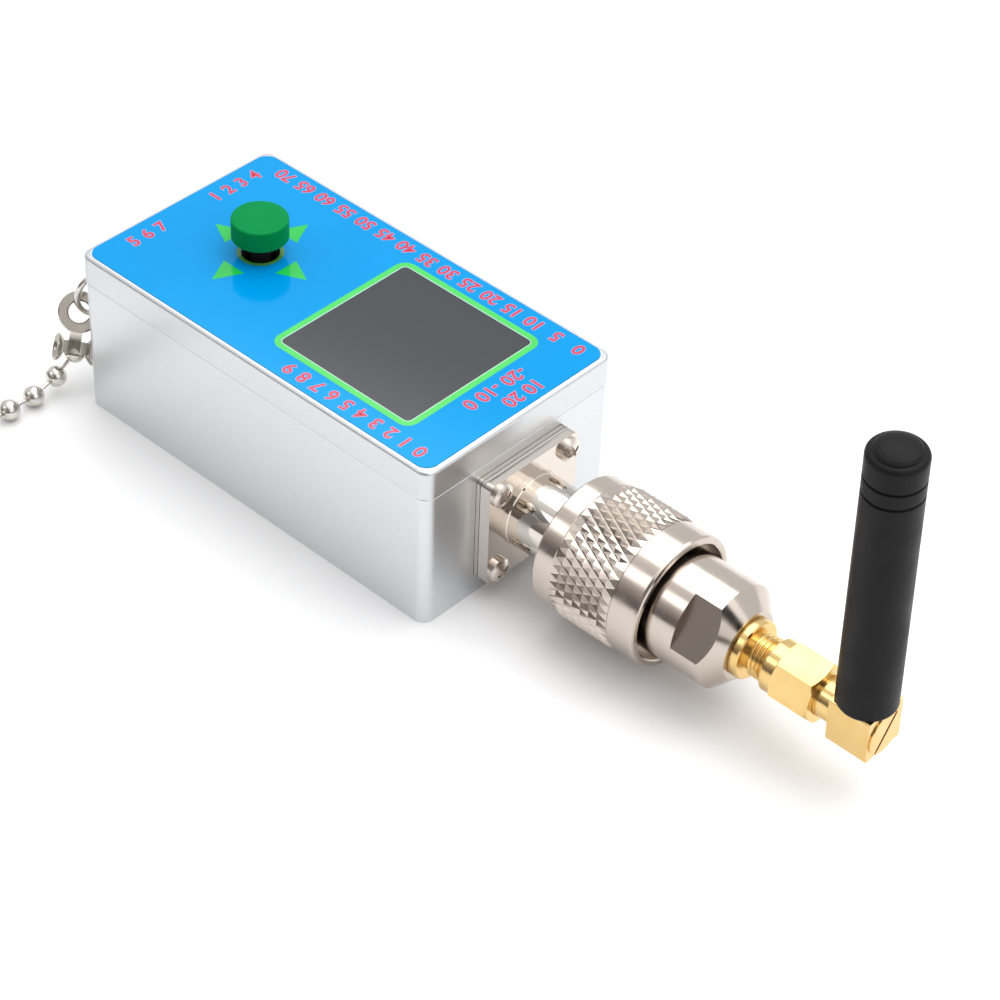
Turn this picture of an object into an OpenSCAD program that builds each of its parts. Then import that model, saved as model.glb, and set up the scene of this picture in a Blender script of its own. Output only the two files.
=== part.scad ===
// Pocket RF power meter in a machined aluminium box.
// The base stands on z = 0. +X points to the rear end with the data sockets,
// -X along the coaxial input, the adapter and the stub antenna.
// +Y is the long side that faces the viewer.

/* [Case] */
// Length of the lid along X
case_l = 69; // [67:0.5:80]
// Width of the lid along Y
case_w = 37; // [36:0.5:44]
// Height from the base to the rim of the lid
case_h = 27; // [26:0.5:32]
// Height of the side of the lid, from the seam to the rim
lid_h = 4.8; // [4.4:0.1:5.6]
// Wall of the tub and of the side of the lid
wall = 2; // [1.6:0.1:2.2]
// Floor of the tub
floor_t = 2.2; // [1.8:0.1:3]
// Thickness of the lid under the label plate
lid_top_t = 1.6; // [1.2:0.1:1.8]
// Radius of the four upright corners
corner_r = 1.5; // [1:0.1:2]
// Radius of the rounded top edge of the lid
rim_r = 0.6; // [0.3:0.05:0.7]
// How far the tub stands back from the lid at the seam
seam_step = 0.1; // [0.05:0.05:0.3]
// Side of the square corner posts that take the lid screws
post_side = 5.4; // [5:0.1:6]

/* [Lid screws] */
// Thread diameter of the lid screws
lid_screw_d = 2.5; // [2:0.1:3]
// Head diameter of the lid screws
lid_screw_head_d = 4.5; // [4:0.1:4.8]
// Head height of the lid screws
lid_screw_head_h = 1.5; // [1:0.1:1.8]

/* [Label plate] */
// Edge of the lid that stays bare round the label plate
plate_margin = 0.75; // [0.7:0.05:1.2]
// Thickness of the printed acrylic label plate
plate_t = 0.6; // [0.5:0.05:1]
// How far the label plate stands above the rim
plate_proud = 0.1; // [0.05:0.05:0.3]
// Side of the square display window
window_side = 24.5; // [22:0.5:25]
// Corner radius of the display window
window_r = 0.8; // [0.4:0.1:1.5]
// From the connector end of the lid to the middle of the window
window_from_end = 21.9; // [21:0.1:23]
// Gap round the window pane
pane_gap = 0.05; // [0.03:0.01:0.1]
// Ledge of the lid that carries the window pane
pane_ledge = 0.8; // [0.5:0.1:1]

/* [Five-way key] */
// From the socket end of the lid to the middle of the key
key_from_end = 18; // [16.5:0.5:19]
// Hole in the label plate round the stem
key_hole_d = 5.6; // [5.4:0.1:6.4]
// Diameter of the green cap
cap_d = 8.3; // [7:0.1:9]
// Height of the cap
cap_h = 2.85; // [2.4:0.05:3.4]
// Edge radius of the cap
cap_edge_r = 0.35; // [0.2:0.05:0.5]
// Gap from the label plate up to the cap
cap_lift = 3.15; // [2.6:0.05:3.6]
// Diameter of the key's stem
stem_d = 3; // [2.4:0.1:3.2]
// Side of the square switch under the key
switch_side = 10; // [9.6:0.1:10.6]
// Height of the moulded base of the switch
switch_h = 3.2; // [3:0.1:3.3]
// Sheet of the metal cover on the switch
switch_cover_t = 0.3; // [0.2:0.05:0.35]
// Tilt of the key to each side, in degrees
key_tilt = 6; // [4:0.5:7]
// Travel of the key when it is pressed
key_travel = 0.3; // [0.2:0.05:0.35]

/* [Boards] */
// Thickness of the circuit boards
board_t = 1.2; // [1:0.1:1.4]
// Gap from the boards to the walls
board_gap = 0.3; // [0.2:0.05:0.6]
// Thickness of the display module
display_t = 2.3; // [2:0.1:2.5]
// Side of the display module across
display_w = 28; // [26.5:0.5:29]
// Side of the display module along the case
display_l = 29; // [27:0.5:30]
// Thread diameter of the board screws
board_screw_d = 2; // [1.6:0.1:2.2]
// Head diameter of the board screws
board_screw_head_d = 3.6; // [3.2:0.1:4]
// Height of the lid of the screening can
can_h = 3; // [2.4:0.1:4]

/* [Rear sockets] */
// Width of the USB-C shell
usb_w = 8.94; // [8.8:0.02:9]
// Height of the USB-C shell
usb_h = 3.2; // [3.1:0.02:3.3]
// Depth of the USB-C shell
usb_l = 7.35; // [7:0.05:8]
// Centre of the USB-C socket across the case
usb_y = -6.5; // [-7:0.1:-6]
// Width of the four-pin serial socket
uart_w = 7.5; // [7:0.1:8]
// Height of the four-pin serial socket
uart_h = 3.9; // [3.5:0.1:4.2]
// Centre of the serial socket across the case
uart_y = 3; // [2.5:0.1:3.4]

/* [N jack] */
// Height of the connector axis above the base
axis_z = 11.7; // [11.4:0.05:12.2]
// Side of the square flange
flange_side = 17.5; // [17:0.1:18]
// Thickness of the flange
flange_t = 1.8; // [1.5:0.1:2.4]
// Corner radius of the flange
flange_r = 0.9; // [0.5:0.1:1.4]
// Thickness of the plate behind the flange
backing_t = 0.75; // [0.5:0.05:1]
// Spacing of the four flange screws
flange_pitch = 13.5; // [13:0.1:13.8]
// Thread diameter of the flange screws
flange_screw_d = 2.1; // [1.8:0.1:2.2]
// Head diameter of the flange screws
flange_screw_head_d = 3.6; // [3.2:0.1:3.7]
// Diameter of the boss next to the flange
boss_d = 11.6; // [11.4:0.1:12]
// Length of the boss
boss_l = 0.55; // [0.3:0.05:1]
// Diameter of the smooth neck
neck_d = 11.2; // [10.8:0.1:11.4]
// Length of the neck, from the boss to the thread
neck_l = 9; // [8.5:0.1:9.6]
// Outside diameter of the N thread
jack_thread_d = 15.88; // [15.8:0.02:15.96]
// Length of the N thread
jack_thread_l = 9; // [8:0.1:10]
// Bore of the N jack round the contact
jack_bore_d = 8.6; // [8.4:0.05:8.8]
// Outside diameter of the jack's centre contact
jack_contact_d = 3.04; // [2.9:0.02:3.2]

/* [N plug and adapter] */
// Bore of the rear recess of the coupling nut
nut_recess_d = 18.2; // [17.8:0.1:18.4]
// Wall of the nut round that recess
nut_skirt_t = 0.8; // [0.6:0.05:1]
// Rise of the knurl over the plain bands of the nut
knurl_rise = 0.3; // [0.2:0.05:0.4]
// Length of the coupling nut
nut_l = 17.9; // [17.5:0.1:19]
// Length of the front band
nut_front_band = 2.3; // [1.8:0.1:3]
// Length of the rear band
nut_rear_band = 4.6; // [4:0.1:5.5]
// Pitch of the N thread, one turn of the nut
nut_pitch = 1.058; // [1.05:0.002:1.06]
// Turns of the N nut from tight to free
nut_turn_count = 7; // [5:1:7]
// Diameter of the adapter body
adapter_d = 15.5; // [15:0.1:15.7]
// End of the adapter's round body, measured from the case
adapter_end = 38.45; // [38:0.05:39.5]
// Length of the cone behind the body
cone_l = 2.45; // [2:0.05:3.4]
// Diameter of the small end of the cone
cone_tip_d = 10.2; // [9.8:0.1:11]
// Width across the two wrench flats
adapter_flats = 13.2; // [12.6:0.1:13.6]
// Length of the wrench flats
flats_l = 4.4; // [3.6:0.1:5]

/* [SMA jack and plug] */
// Diameter of the collar of the gold jack
sma_collar_d = 9.3; // [8.8:0.1:9.7]
// Thickness of the collar
sma_collar_t = 1.9; // [1.5:0.1:2.4]
// Diameter of the relief behind the thread
sma_neck_d = 5.3; // [5:0.1:5.6]
// Length of the relief
sma_neck_l = 3; // [2.6:0.1:3.6]
// Outside diameter of the SMA thread
sma_thread_d = 6.35; // [6.3:0.01:6.4]
// Length of the SMA thread
sma_thread_l = 5.5; // [5:0.1:6]
// Bore of the SMA jack
sma_bore_d = 4.6; // [4.5:0.02:4.7]
// Width across the flats of the SMA nut
sma_hex = 8; // [7.8:0.1:8.4]
// Length of the SMA nut
sma_nut_l = 8; // [7.6:0.1:8.6]
// Length of the round nose of the SMA nut
sma_nose_l = 1.7; // [1.2:0.1:2.2]
// Pitch of the SMA thread, one turn of the nut
sma_pitch = 0.7056; // [0.7:0.0004:0.71]
// Turns of the SMA nut from tight to free
sma_turns = 6; // [4:1:6]
// Turn of the nut about the connector axis, in degrees
sma_nut_turn = 42; // [0:1:60]
// Diameter of the ferrule between nut and elbow
ferrule_d = 5.8; // [5.6:0.05:5.9]
// Length of the ferrule that shows behind the nut
ferrule_l = 2.9; // [2.4:0.1:3.4]

/* [Antenna] */
// Side of the square elbow block
elbow_side = 7; // [6.6:0.1:7.6]
// Length of the elbow block along the connector axis
elbow_l = 6.5; // [6.2:0.1:7.2]
// Rise of the block's middle over the connector axis
elbow_rise = 0.35; // [0:0.05:0.6]
// Diameter of the rubber sheath at its foot
sheath_d = 8.3; // [7.8:0.1:8.8]
// Diameter of the sheath below its shoulder
sheath_top_d = 7.95; // [7.4:0.05:8.6]
// Height of the sheath, from the block to its shoulder
sheath_l = 42.35; // [36:0.05:60]
// Height of the domed tip above the shoulder
tip_h = 1; // [0.8:0.1:1.6]
// Lean of the antenna toward the viewer, in degrees
antenna_lean = 2.5; // [0:0.5:10]
// Setback of the sheath's axis from the middle of the block
sheath_shift = 0.1; // [0:0.05:0.6]

/* [Key chain] */
// Diameter of the chain's balls
ball_d = 3.2; // [3:0.05:3.4]
// Distance from ball to ball
ball_pitch = 4.6; // [4.5:0.05:4.9]
// Sheet of the balls
ball_sheet = 0.25; // [0.2:0.05:0.3]
// Hole at each end of a ball
ball_hole_d = 1.2; // [1.1:0.02:1.22]
// Diameter of the link pins
link_d = 0.45; // [0.4:0.05:0.5]
// Diameter of the heads of the link pins
link_head_d = 1.26; // [1.24:0.01:1.28]
// Radius of the loop in which the chain lies
loop_r = 16; // [14:0.5:18]
// Diameter of the split ring, at the middle of its wire
ring_d = 8.8; // [8.6:0.1:9]
// Diameter of the ring's wire
ring_wire_d = 0.95; // [0.8:0.05:1]
// Diameter of the eye of the chain tab
eye_d = 6.2; // [6:0.1:6.6]
// Hole of the eye
eye_hole_d = 3.5; // [3.4:0.05:3.8]
// Sheet of the tab and of the clasp
tab_t = 0.7; // [0.5:0.05:0.8]

/* [Hidden] */
$fn = 48;
cut = 1;
skin = 0.01;
slip = 0.04;
seat = 0.02;
half_l = case_l / 2 - seam_step;
half_w = case_w / 2 - seam_step;
seam_z = case_h - lid_h;
recess_z = case_h - (plate_t - plate_proud);
lid_under_z = recess_z - lid_top_t;
post_x = half_l - wall - post_side / 2;
post_y = half_w - wall - post_side / 2;
screw_way = 0.2;
screw_end_gap = 0.2;
small_cross_w = 0.5;
lid_screw_bite = 2.4;
lid_hole_spare = 0.4;
lid_screw_sunk = 0.1;
lid_cross_w = 0.6;
post_in_x = half_l - wall - post_side;
post_in_y = half_w - wall - post_side;
window_x = window_from_end - case_l / 2;
key_x = case_l / 2 - key_from_end;

// Boards
rf_pin_d = 1.3;
part_gap = 0.7;
rf_board_top = axis_z - rf_pin_d / 2;
rf_board_z = rf_board_top - board_t;
glass_drop = 0.2;
glass_t = 0.15;
glass_edge = 1;
foam_inset = 1;
foam_w = 3;
boss_hole_h = 2.6;
boss_bite = 2.2;
display_z = lid_under_z - seat - display_t;
cover_gap = 0.1;
display_board_top = lid_under_z - switch_h - switch_cover_t - cover_gap;
display_board_z = display_board_top - board_t;
display_x = display_l / 2 + part_gap - (post_in_x - seam_step);
display_side = min(display_w, 2 * (half_w - wall - part_gap));
board_l = 2 * (half_l - wall - board_gap);
board_w = 2 * (half_w - wall - board_gap);
notch = post_side + board_gap;
rf_screw_in_x = 11.1;
rf_screw_in_y = 4.1;
rf_screw_x = board_l / 2 - rf_screw_in_x;
rf_screw_y = board_w / 2 - rf_screw_in_y;
rf_boss_d = 5;
rf_screw_end_gap = 0.5;
lid_boss_d = 4.2;
lid_boss_gap = 0.3;
lid_boss_in_x = 5.8;
lid_boss_x = [lid_boss_d / 2 + wall - half_l, half_l - wall - lid_boss_in_x];
lid_boss_y = post_in_y - lid_boss_d / 2 - lid_boss_gap;
board_screw_head_h = 1.2;
board_screw_bite = 4;

// Parts on the boards
can_pin_gap = 1.2;
can_l = 17;
can_w = 2 * (rf_screw_y - board_screw_head_d / 2 - part_gap);
can_t = 0.3;
can_chip = 4;
// Step and bore of the rows of holes in the can
can_hole_step = 3;
can_hole_d = 0.9;
chip_t = 1;
// Place of each chip along and across, as shares of the board, then its side
chips = [[0.374, -0.124, 7], [0.0935, 0.31, 5], [-0.143, -0.373, 4], [0.545, 0.528, 3.2]];
header_pins = 6;
header_step = 2.54;
header_x = 4;
header_w = 5;
header_edge = 1.4;
header_y = board_w / 2 - header_edge - header_w / 2;
header_pin = 0.64;
header_bore_h = 3;

// Sockets in the rear face
port_gap = 0.2;
usb_sheet = 0.3;
usb_back = 1;
usb_tongue_w = 6.7;
usb_tongue_t = 0.7;
usb_tongue_short = 1;
uart_l = 6;
uart_side = 0.6;
uart_depth = 5;
uart_pins = 4;
uart_step = 1.25;
uart_pin = 0.4;
uart_pin_l = 3.8;

// Switch under the key
key_pivot_rise = 1.55;
key_pivot_z = display_board_top + key_pivot_rise;
switch_floor = 0.55;
cavity_side = 0.7;
cavity_r = switch_side / 2 - cavity_side;
rocker_gap = 0.25;
rocker_r = cavity_r - rocker_gap;
rocker_t = 0.9;
rocker_in_r = 2.75;
yoke_gap = 0.15;
yoke_r = rocker_in_r - yoke_gap;
pivot_r = 0.35;
pivot_slip = 0.04;
pivot_root = 0.06;
rocker_pivot_l = 0.6;
yoke_pivot_l = 0.55;
stem_slip = 0.04;
stem_collar_gap = 0.15;
stem_collar_h = 0.7;
stem_collar_out = 0.5;
cover_cut_h = 1;
dome_h = 0.2;
dome_sheet = 0.12;
dome_foot_r = 0.8;
dome_foot_in = 1;
dome_gap = 0.05;
nib_r = 0.5;
nib_l = 0.3;
stem_foot_z = display_board_top + switch_floor + dome_h + key_travel + dome_gap + nib_l;
dome_r = 1.4;
key_top_z = case_h + plate_proud + cap_lift;
cap_socket = 1.9;
cover_hole_r = 3;
key_hole_step = 0.25;
lid_key_hole_d = key_hole_d + 2 * key_hole_step;

// Places along the connector axis, measured outward from the tub
flange_s = backing_t;
boss_s = flange_s + flange_t;
neck_s = boss_s + boss_l;
thread_s = neck_s + neck_l;
jack_s = thread_s + jack_thread_l;
thread_relief = 0.6;
soft_edge = 0.15;
panel_hole_d = 11.4;
jack_rear_d = 11;
jack_rear_out = 0.2;
jack_rear_l = wall + jack_rear_out;
flange_screw_head_h = 1.3;
flange_screw_turn = 25;
insulator_d = 7;
jack_socket_depth = 9.4;
contact_back = 0.8;
contact_bore_d = 1.7;
contact_bore_l = 6.4;
contact_slot_w = 0.24;
contact_slot_back = 1;
solder_pin_l = 4.5;
can_x = jack_rear_l + solder_pin_l + can_pin_gap + can_l / 2 - half_l;
nut_s = 11.4;
nut_end_s = nut_s + nut_l;
nut_mouth = 1.2;
nut_mouth_rise = 0.4;
nut_mouth_r = jack_thread_d / 2 + nut_mouth_rise;
nut_band_r = nut_recess_d / 2 + nut_skirt_t;
nut_r = nut_band_r + knurl_rise;
nut_edge = 0.3;
nut_heel = 0.45;
nut_chamfer = 0.4;
nut_chamfer_in = 0.5;
groove_back = 3;
ring_groove_s = jack_s + groove_back;
retainer_t = 0.8;
retainer_root = 0.55;
retainer_w = 1.3;
retainer_in_r = adapter_d / 2 - retainer_root;
retainer_out_r = retainer_in_r + retainer_w;
ring_slit = 2;
nut_lip_s = ring_groove_s + retainer_t + seat;
nut_lip_t = 1.5;
ring_way = 0.15;
nut_lip_r = adapter_d / 2 + ring_way;
chamber_r = retainer_out_r + ring_way;
gasket_t = 0.8;
gasket_in_thread = 0.84;
gasket_round_bore = 0.7;
gasket_out_d = jack_thread_d - 2 * gasket_in_thread;
gasket_in_d = jack_bore_d + 2 * gasket_round_bore;
body_s = jack_s + gasket_t;
plug_way = 0.07;
plug_shell_d = jack_bore_d - 2 * plug_way;
plug_shell_in = 7;
plug_shell_l = 8.2;
plug_shell_over = 1.5;
plug_nose = 0.5;
plug_pin_d = 1.6;
plug_pin_l = 5.2;
plug_pin_point = 0.4;
plug_pin_taper = 0.6;
flat_s = adapter_end - flats_l;
cone_s = adapter_end + cone_l;
collar_s = cone_s;
sma_neck_s = collar_s + sma_collar_t;
sma_thread_s = sma_neck_s + sma_neck_l;
sma_face_s = sma_thread_s + sma_thread_l;
sma_tail_d = 6.2;
sma_tail_l = 5;
tail_step = 1;
bead_back = 0.6;
adapter_bore_d = 7;
adapter_stem_d = 3;
sma_insulator_d = 4.1;
sma_socket_depth = 3.6;
sma_contact_d = 1.27;
sma_contact_back = 0.6;
sma_contact_bore_d = 1;
sma_contact_bore_l = 3;
sma_edge = 0.3;
sma_collar_edge = 0.2;
sma_gasket_t = 0.4;
sma_gasket_out_d = 5.9;
sma_gasket_in_d = 4.7;
sma_nut_s = sma_thread_s;
sma_nut_relief = 1.2;
sma_nut_end = sma_nut_s + sma_nut_l;
sma_groove_back = 0.5;
sma_groove_s = sma_face_s + sma_gasket_t + sma_groove_back;
sma_ring_t = 0.5;
sma_ring_root = 0.45;
sma_ring_w = 0.85;
sma_ring_in = ferrule_d / 2 - sma_ring_root;
sma_ring_out = sma_ring_in + sma_ring_w;
sma_ring_slit = 1;
sma_lip_way = 0.06;
sma_ring_way = 0.1;
sma_mouth_way = 0.2;
sma_nose_step = 0.125;
sma_hex_chamfer = 0.5;
sma_hex_corner = 0.8;
sma_lip_s = sma_groove_s + sma_ring_t + seat;
sma_lip_r = ferrule_d / 2 + sma_lip_way;
sma_chamber_r = sma_ring_out + sma_ring_way;
sma_shell_way = 0.05;
sma_shell_d = sma_bore_d - 2 * sma_shell_way;
sma_shell_in = 1.8;
sma_shell_l = 2.6;
sma_pin_d = 0.92;
sma_pin_l = 2.4;
sma_pin_past = 0.8;
elbow_corner_r = 0.25;
block_s = sma_nut_end + ferrule_l;
block_end_s = block_s + elbow_l;
sheath_s = block_s + elbow_l / 2 + sheath_shift;
elbow_bore_d = 4.1;
elbow_cap_d = 5.4;
elbow_cap_t = 1.1;
elbow_cap_out = 0.15;
elbow_slot_w = 0.7;
elbow_slot_depth = 0.5;
elbow_slot_turn = 64;
sheath_bore_d = 5.6;
core_d = 4.4;
core_rod_d = 2.8;
core_way = 0.1;
core_drop = 6;
wire_drop = 4;
sheath_roof = 3;
sheath_edge = 0.15;
sheath_edge_h = 0.3;
core_foot = 0.1;
elbow_top = elbow_rise + elbow_side / 2;
wire_d = 0.8;
// Depths of the two grooves of the sheath below its shoulder
sheath_grooves = [6.2, 3.8];
groove_w = 0.5;
groove_depth = 0.25;
shoulder_r = 0.8;
tip_r = 3.2;
tip_groove = 0.2;
sheath_foot_h = 4;

// Key chain
lug_y = 11.4;
lug_z = 18.5;
lug_t = 0.9;
lug_foot = 6;
lug_foot_h = 7;
lug_screw_drop = -4.8;
lug_hole_d = 2.4;
lug_eye_r = 2.1;
lug_hole_x = 3.25;
// Centre of the split ring, then its lean and its turn
ring_at = [38.3, 11.1, 14.15];
ring_lean = -9;
ring_turn = -21;
// Centre of the tab's eye, then the lean, turn and swing of its plate
eye_at = [39.85, 14.9, 11.5];
tab_lean = 45;
tab_turn = 228;
tab_swing = -10;
eye_t = 1.1;
tab_neck_w = 1.8;
tab_foot = 2.4;
cup_drop = 5.3;
cup_r = 2.4;
cup_gap = 3.6;
cup_fold = 75;
cup_rim = 0.7;
cup_arm = 2.2;
ball_r = ball_d / 2;
stretch_links = 6;
loop_links = 15;
// Fall of each link of the straight stretch, in degrees
link_falls = [44, 16, 0, 0, 0, 0];
// Heading of each link of the straight stretch, in degrees from +X
link_headings = [76, 90, 90, 90, 90, 90];
loop_turn = 2 * asin(ball_pitch / (2 * loop_r));
link_play = 0.04;
chain_start_x = 38.6;
chain_start_y = 17.3;
clasp_w = 3.6;
clasp_l = 8.4;
clasp_gap = 0.15;
clasp_slot_w = 1;

// Rectangle with round corners, about the origin
module rounded_rect(l, w, r) {
    square([l - 2 * r, w], center = true);
    square([l, w - 2 * r], center = true);
    for (x = [-1, 1], y = [-1, 1])
        translate([x * (l / 2 - r), y * (w / 2 - r)]) circle(r);
}

// Half outline of a plate with a round upper edge
module edge_profile(reach, h, r) {
    square([reach, h - r]);
    square([reach - r, h]);
    translate([reach - r, h - r]) circle(r);
}

// Plate with round corners and a round upper edge
module soft_plate(l, w, h, r_corner, r_edge) {
    rotate([90, 0, 90]) translate([0, 0, r_corner - l / 2]) linear_extrude(l - 2 * r_corner)
        for (i = [0, 1]) mirror([i, 0]) edge_profile(w / 2, h, r_edge);
    rotate([90, 0, 0]) translate([0, 0, r_corner - w / 2]) linear_extrude(w - 2 * r_corner)
        for (i = [0, 1]) mirror([i, 0]) edge_profile(l / 2, h, r_edge);
    at_corners(l / 2 - r_corner, w / 2 - r_corner)
        rotate_extrude() edge_profile(r_corner, h, r_edge);
}

// Carries its children to the connector axis: their +Z points outward
module on_axis(s = 0) {
    translate([-half_l - s, 0, axis_z]) rotate([0, -90, 0]) children();
}

// Leans its children with the antenna about the connector axis
module leaning() {
    translate([0, 0, axis_z]) rotate([-antenna_lean, 0, 0])
        translate([0, 0, -axis_z]) children();
}

// Round piece on the connector axis from its half outline of [radius, place]
module turned(points) {
    on_axis() rotate_extrude() polygon(points);
}

// Ring on the connector axis
module collar(s, l, d_out, d_in) {
    on_axis(s) difference() {
        cylinder(h = l, d = d_out);
        translate([0, 0, -cut]) cylinder(h = l + 2 * cut, d = d_in);
    }
}

// Copies its children to the four corners of a rectangle
module at_corners(x, y) {
    for (i = [-1, 1], j = [-1, 1]) translate([i * x, j * y, 0]) children();
}

// Pan-head screw with a cross recess; its head stands on z = 0
module pan_screw(d, l, head_d, head_h, cross_w) {
    translate([0, 0, -l]) cylinder(h = l + skin, d = d);
    difference() {
        intersection() {
            cylinder(h = head_h, d = head_d);
            translate([0, 0, head_h - head_d * 0.75]) sphere(head_d * 0.75);
        }
        for (a = [0, 90]) rotate([0, 0, a])
            translate([-head_d * 0.3, -cross_w / 2, head_h * 0.45])
                cube([head_d * 0.6, cross_w, head_h]);
    }
}

// Box that stands on its base, centred along X and Y
module block(l, w, h) {
    translate([-l / 2, -w / 2, 0]) cube([l, w, h]);
}

// Case

module case_tub() color([0.80, 0.81, 0.83]) {
    difference() {
        union() {
            difference() {
                linear_extrude(seam_z) rounded_rect(2 * half_l, 2 * half_w, corner_r);
                translate([0, 0, floor_t]) linear_extrude(seam_z)
                    rounded_rect(2 * (half_l - wall), 2 * (half_w - wall), corner_r);
            }
            for (i = [-1, 1], j = [-1, 1])
                translate([i * post_x, j * post_y, floor_t - skin])
                    block(post_side + skin, post_side + skin, seam_z - floor_t);
            at_corners(rf_screw_x, rf_screw_y)
                translate([0, 0, floor_t - skin])
                    cylinder(h = rf_board_z - floor_t + skin, d = rf_boss_d);
        }
        at_corners(post_x, post_y) {
            translate([0, 0, -cut]) cylinder(h = seam_z + 2 * cut, d = lid_screw_d + 2 * screw_way);
            translate([0, 0, -cut])
                cylinder(h = lid_screw_head_h + cut, d = lid_screw_head_d + 2 * screw_way);
        }
        at_corners(rf_screw_x, rf_screw_y)
            translate([0, 0, rf_board_z - board_screw_bite])
                cylinder(h = board_screw_bite + cut, d = board_screw_d);
        on_axis(-wall - cut) cylinder(h = wall + 2 * cut, d = panel_hole_d);
        on_axis(-wall - cut) at_corners(flange_pitch / 2, flange_pitch / 2)
            cylinder(h = wall + 2 * cut, d = flange_screw_d);
        translate([half_l - wall - cut, usb_y, rf_board_top + usb_h / 2])
            rotate([90, 0, 90]) linear_extrude(wall + 2 * cut)
                rounded_rect(usb_w + 2 * port_gap, usb_h + 2 * port_gap, (usb_h + port_gap) / 2);
        translate([half_l - wall - cut, uart_y - uart_w / 2 - port_gap,
                rf_board_top - port_gap / 2])
            cube([wall + 2 * cut, uart_w + 2 * port_gap, uart_h + 1.5 * port_gap]);
        translate([half_l - wall - cut, lug_y, lug_z + lug_screw_drop])
            rotate([0, 90, 0]) cylinder(h = wall + 2 * cut, d = board_screw_d);
    }
}

module case_lid() color([0.86, 0.87, 0.88]) {
    difference() {
        union() {
            lid_shell();
            for (x = lid_boss_x, j = [-1, 1]) translate([x, j * lid_boss_y, display_board_top])
                cylinder(h = lid_under_z - display_board_top + skin, d = lid_boss_d);
        }
        for (x = lid_boss_x, j = [-1, 1]) translate([x, j * lid_boss_y, display_board_top - cut])
            cylinder(h = boss_hole_h + cut, d = board_screw_d);
    }
}

// Lid before its bosses for the display board are set in
module lid_shell() {
    difference() {
        translate([0, 0, seam_z]) soft_plate(case_l, case_w, lid_h, corner_r, rim_r);
        translate([0, 0, recess_z]) linear_extrude(case_h)
            rounded_rect(case_l - 2 * plate_margin, case_w - 2 * plate_margin,
                corner_r - plate_margin / 2);
        difference() {
            translate([0, 0, seam_z - cut]) linear_extrude(lid_under_z - seam_z + cut)
                rounded_rect(case_l - 2 * wall, case_w - 2 * wall, corner_r);
            at_corners(post_x, post_y) translate([0, 0, seam_z - 2 * cut])
                block(post_side + 2 * seam_step, post_side + 2 * seam_step, lid_h + 2 * cut);
        }
        at_corners(post_x, post_y) translate([0, 0, seam_z - cut])
            cylinder(h = cut + lid_screw_bite + lid_hole_spare, d = lid_screw_d);
        translate([window_x, 0, 0]) linear_extrude(case_h + cut)
            rounded_rect(window_side - 2 * pane_ledge, window_side - 2 * pane_ledge, window_r);
        translate([key_x, 0, 0]) cylinder(h = case_h + cut, d = lid_key_hole_d);
    }
}

module lid_screws() color([0.30, 0.30, 0.32]) {
    at_corners(post_x, post_y) translate([0, 0, lid_screw_head_h]) rotate([180, 0, 0])
        pan_screw(lid_screw_d, seam_z - lid_screw_head_h + lid_screw_bite, lid_screw_head_d,
            lid_screw_head_h - lid_screw_sunk, lid_cross_w);
}

module label_plate() color([0.0, 0.62, 0.93]) {
    translate([0, 0, recess_z]) difference() {
        linear_extrude(plate_t)
            rounded_rect(case_l - 2 * plate_margin - 2 * seat,
                case_w - 2 * plate_margin - 2 * seat, corner_r - plate_margin / 2);
        translate([window_x, 0, -cut]) linear_extrude(plate_t + 2 * cut)
            rounded_rect(window_side + 2 * pane_gap, window_side + 2 * pane_gap, window_r);
        translate([key_x, 0, -cut]) cylinder(h = plate_t + 2 * cut, d = key_hole_d);
    }
}

module display_window() color([0.25, 0.26, 0.28]) {
    translate([window_x, 0, recess_z]) linear_extrude(plate_t)
        rounded_rect(window_side, window_side, window_r);
}

// Display and boards

module display_module() color([0.12, 0.12, 0.14]) {
    difference() {
        translate([display_x, 0, display_z]) block(display_l, display_side, display_t);
        translate([window_x, 0, display_z + display_t - glass_drop])
            block(window_side - glass_edge, window_side - glass_edge, cut);
    }
    translate([window_x, 0, display_z + display_t - glass_drop - skin])
        block(window_side - glass_edge, window_side - glass_edge, glass_t + skin);
}

module display_foam() color([0.85, 0.83, 0.78]) {
    translate([display_x, 0, display_board_top]) difference() {
        block(display_l - 2 * foam_inset, display_side - 2 * foam_inset,
            display_z - display_board_top);
        translate([0, 0, -cut]) block(display_l - 2 * (foam_inset + foam_w),
            display_side - 2 * (foam_inset + foam_w), lid_h + 2 * cut);
    }
}

module board_outline(l) {
    difference() {
        square([l, board_w], center = true);
        for (i = [-1, 1], j = [-1, 1])
            translate([i * board_l / 2, j * board_w / 2]) square(2 * notch, center = true);
    }
}

module display_board() color([0.05, 0.30, 0.16]) {
    translate([0, 0, display_board_z]) difference() {
        linear_extrude(board_t) board_outline(board_l);
        for (x = lid_boss_x, j = [-1, 1]) translate([x, j * lid_boss_y, -cut])
            cylinder(h = board_t + 2 * cut, d = board_screw_d + screw_way);
    }
}

module display_board_screws() color([0.75, 0.74, 0.70]) {
    for (x = lid_boss_x, j = [-1, 1]) translate([x, j * lid_boss_y, display_board_z])
        rotate([180, 0, 0])
            pan_screw(board_screw_d, board_t + boss_bite, board_screw_head_d, board_screw_head_h,
                small_cross_w);
}

module rf_board() color([0.06, 0.33, 0.18]) {
    translate([0, 0, rf_board_z]) difference() {
        linear_extrude(board_t) board_outline(board_l);
        at_corners(rf_screw_x, rf_screw_y) translate([0, 0, -cut])
            cylinder(h = board_t + 2 * cut, d = board_screw_d + screw_way);
    }
}

module rf_board_screws() color([0.75, 0.74, 0.70]) {
    at_corners(rf_screw_x, rf_screw_y) translate([0, 0, rf_board_top])
        pan_screw(board_screw_d, board_t + board_screw_bite - rf_screw_end_gap,
            board_screw_head_d, board_screw_head_h, small_cross_w);
}

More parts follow.
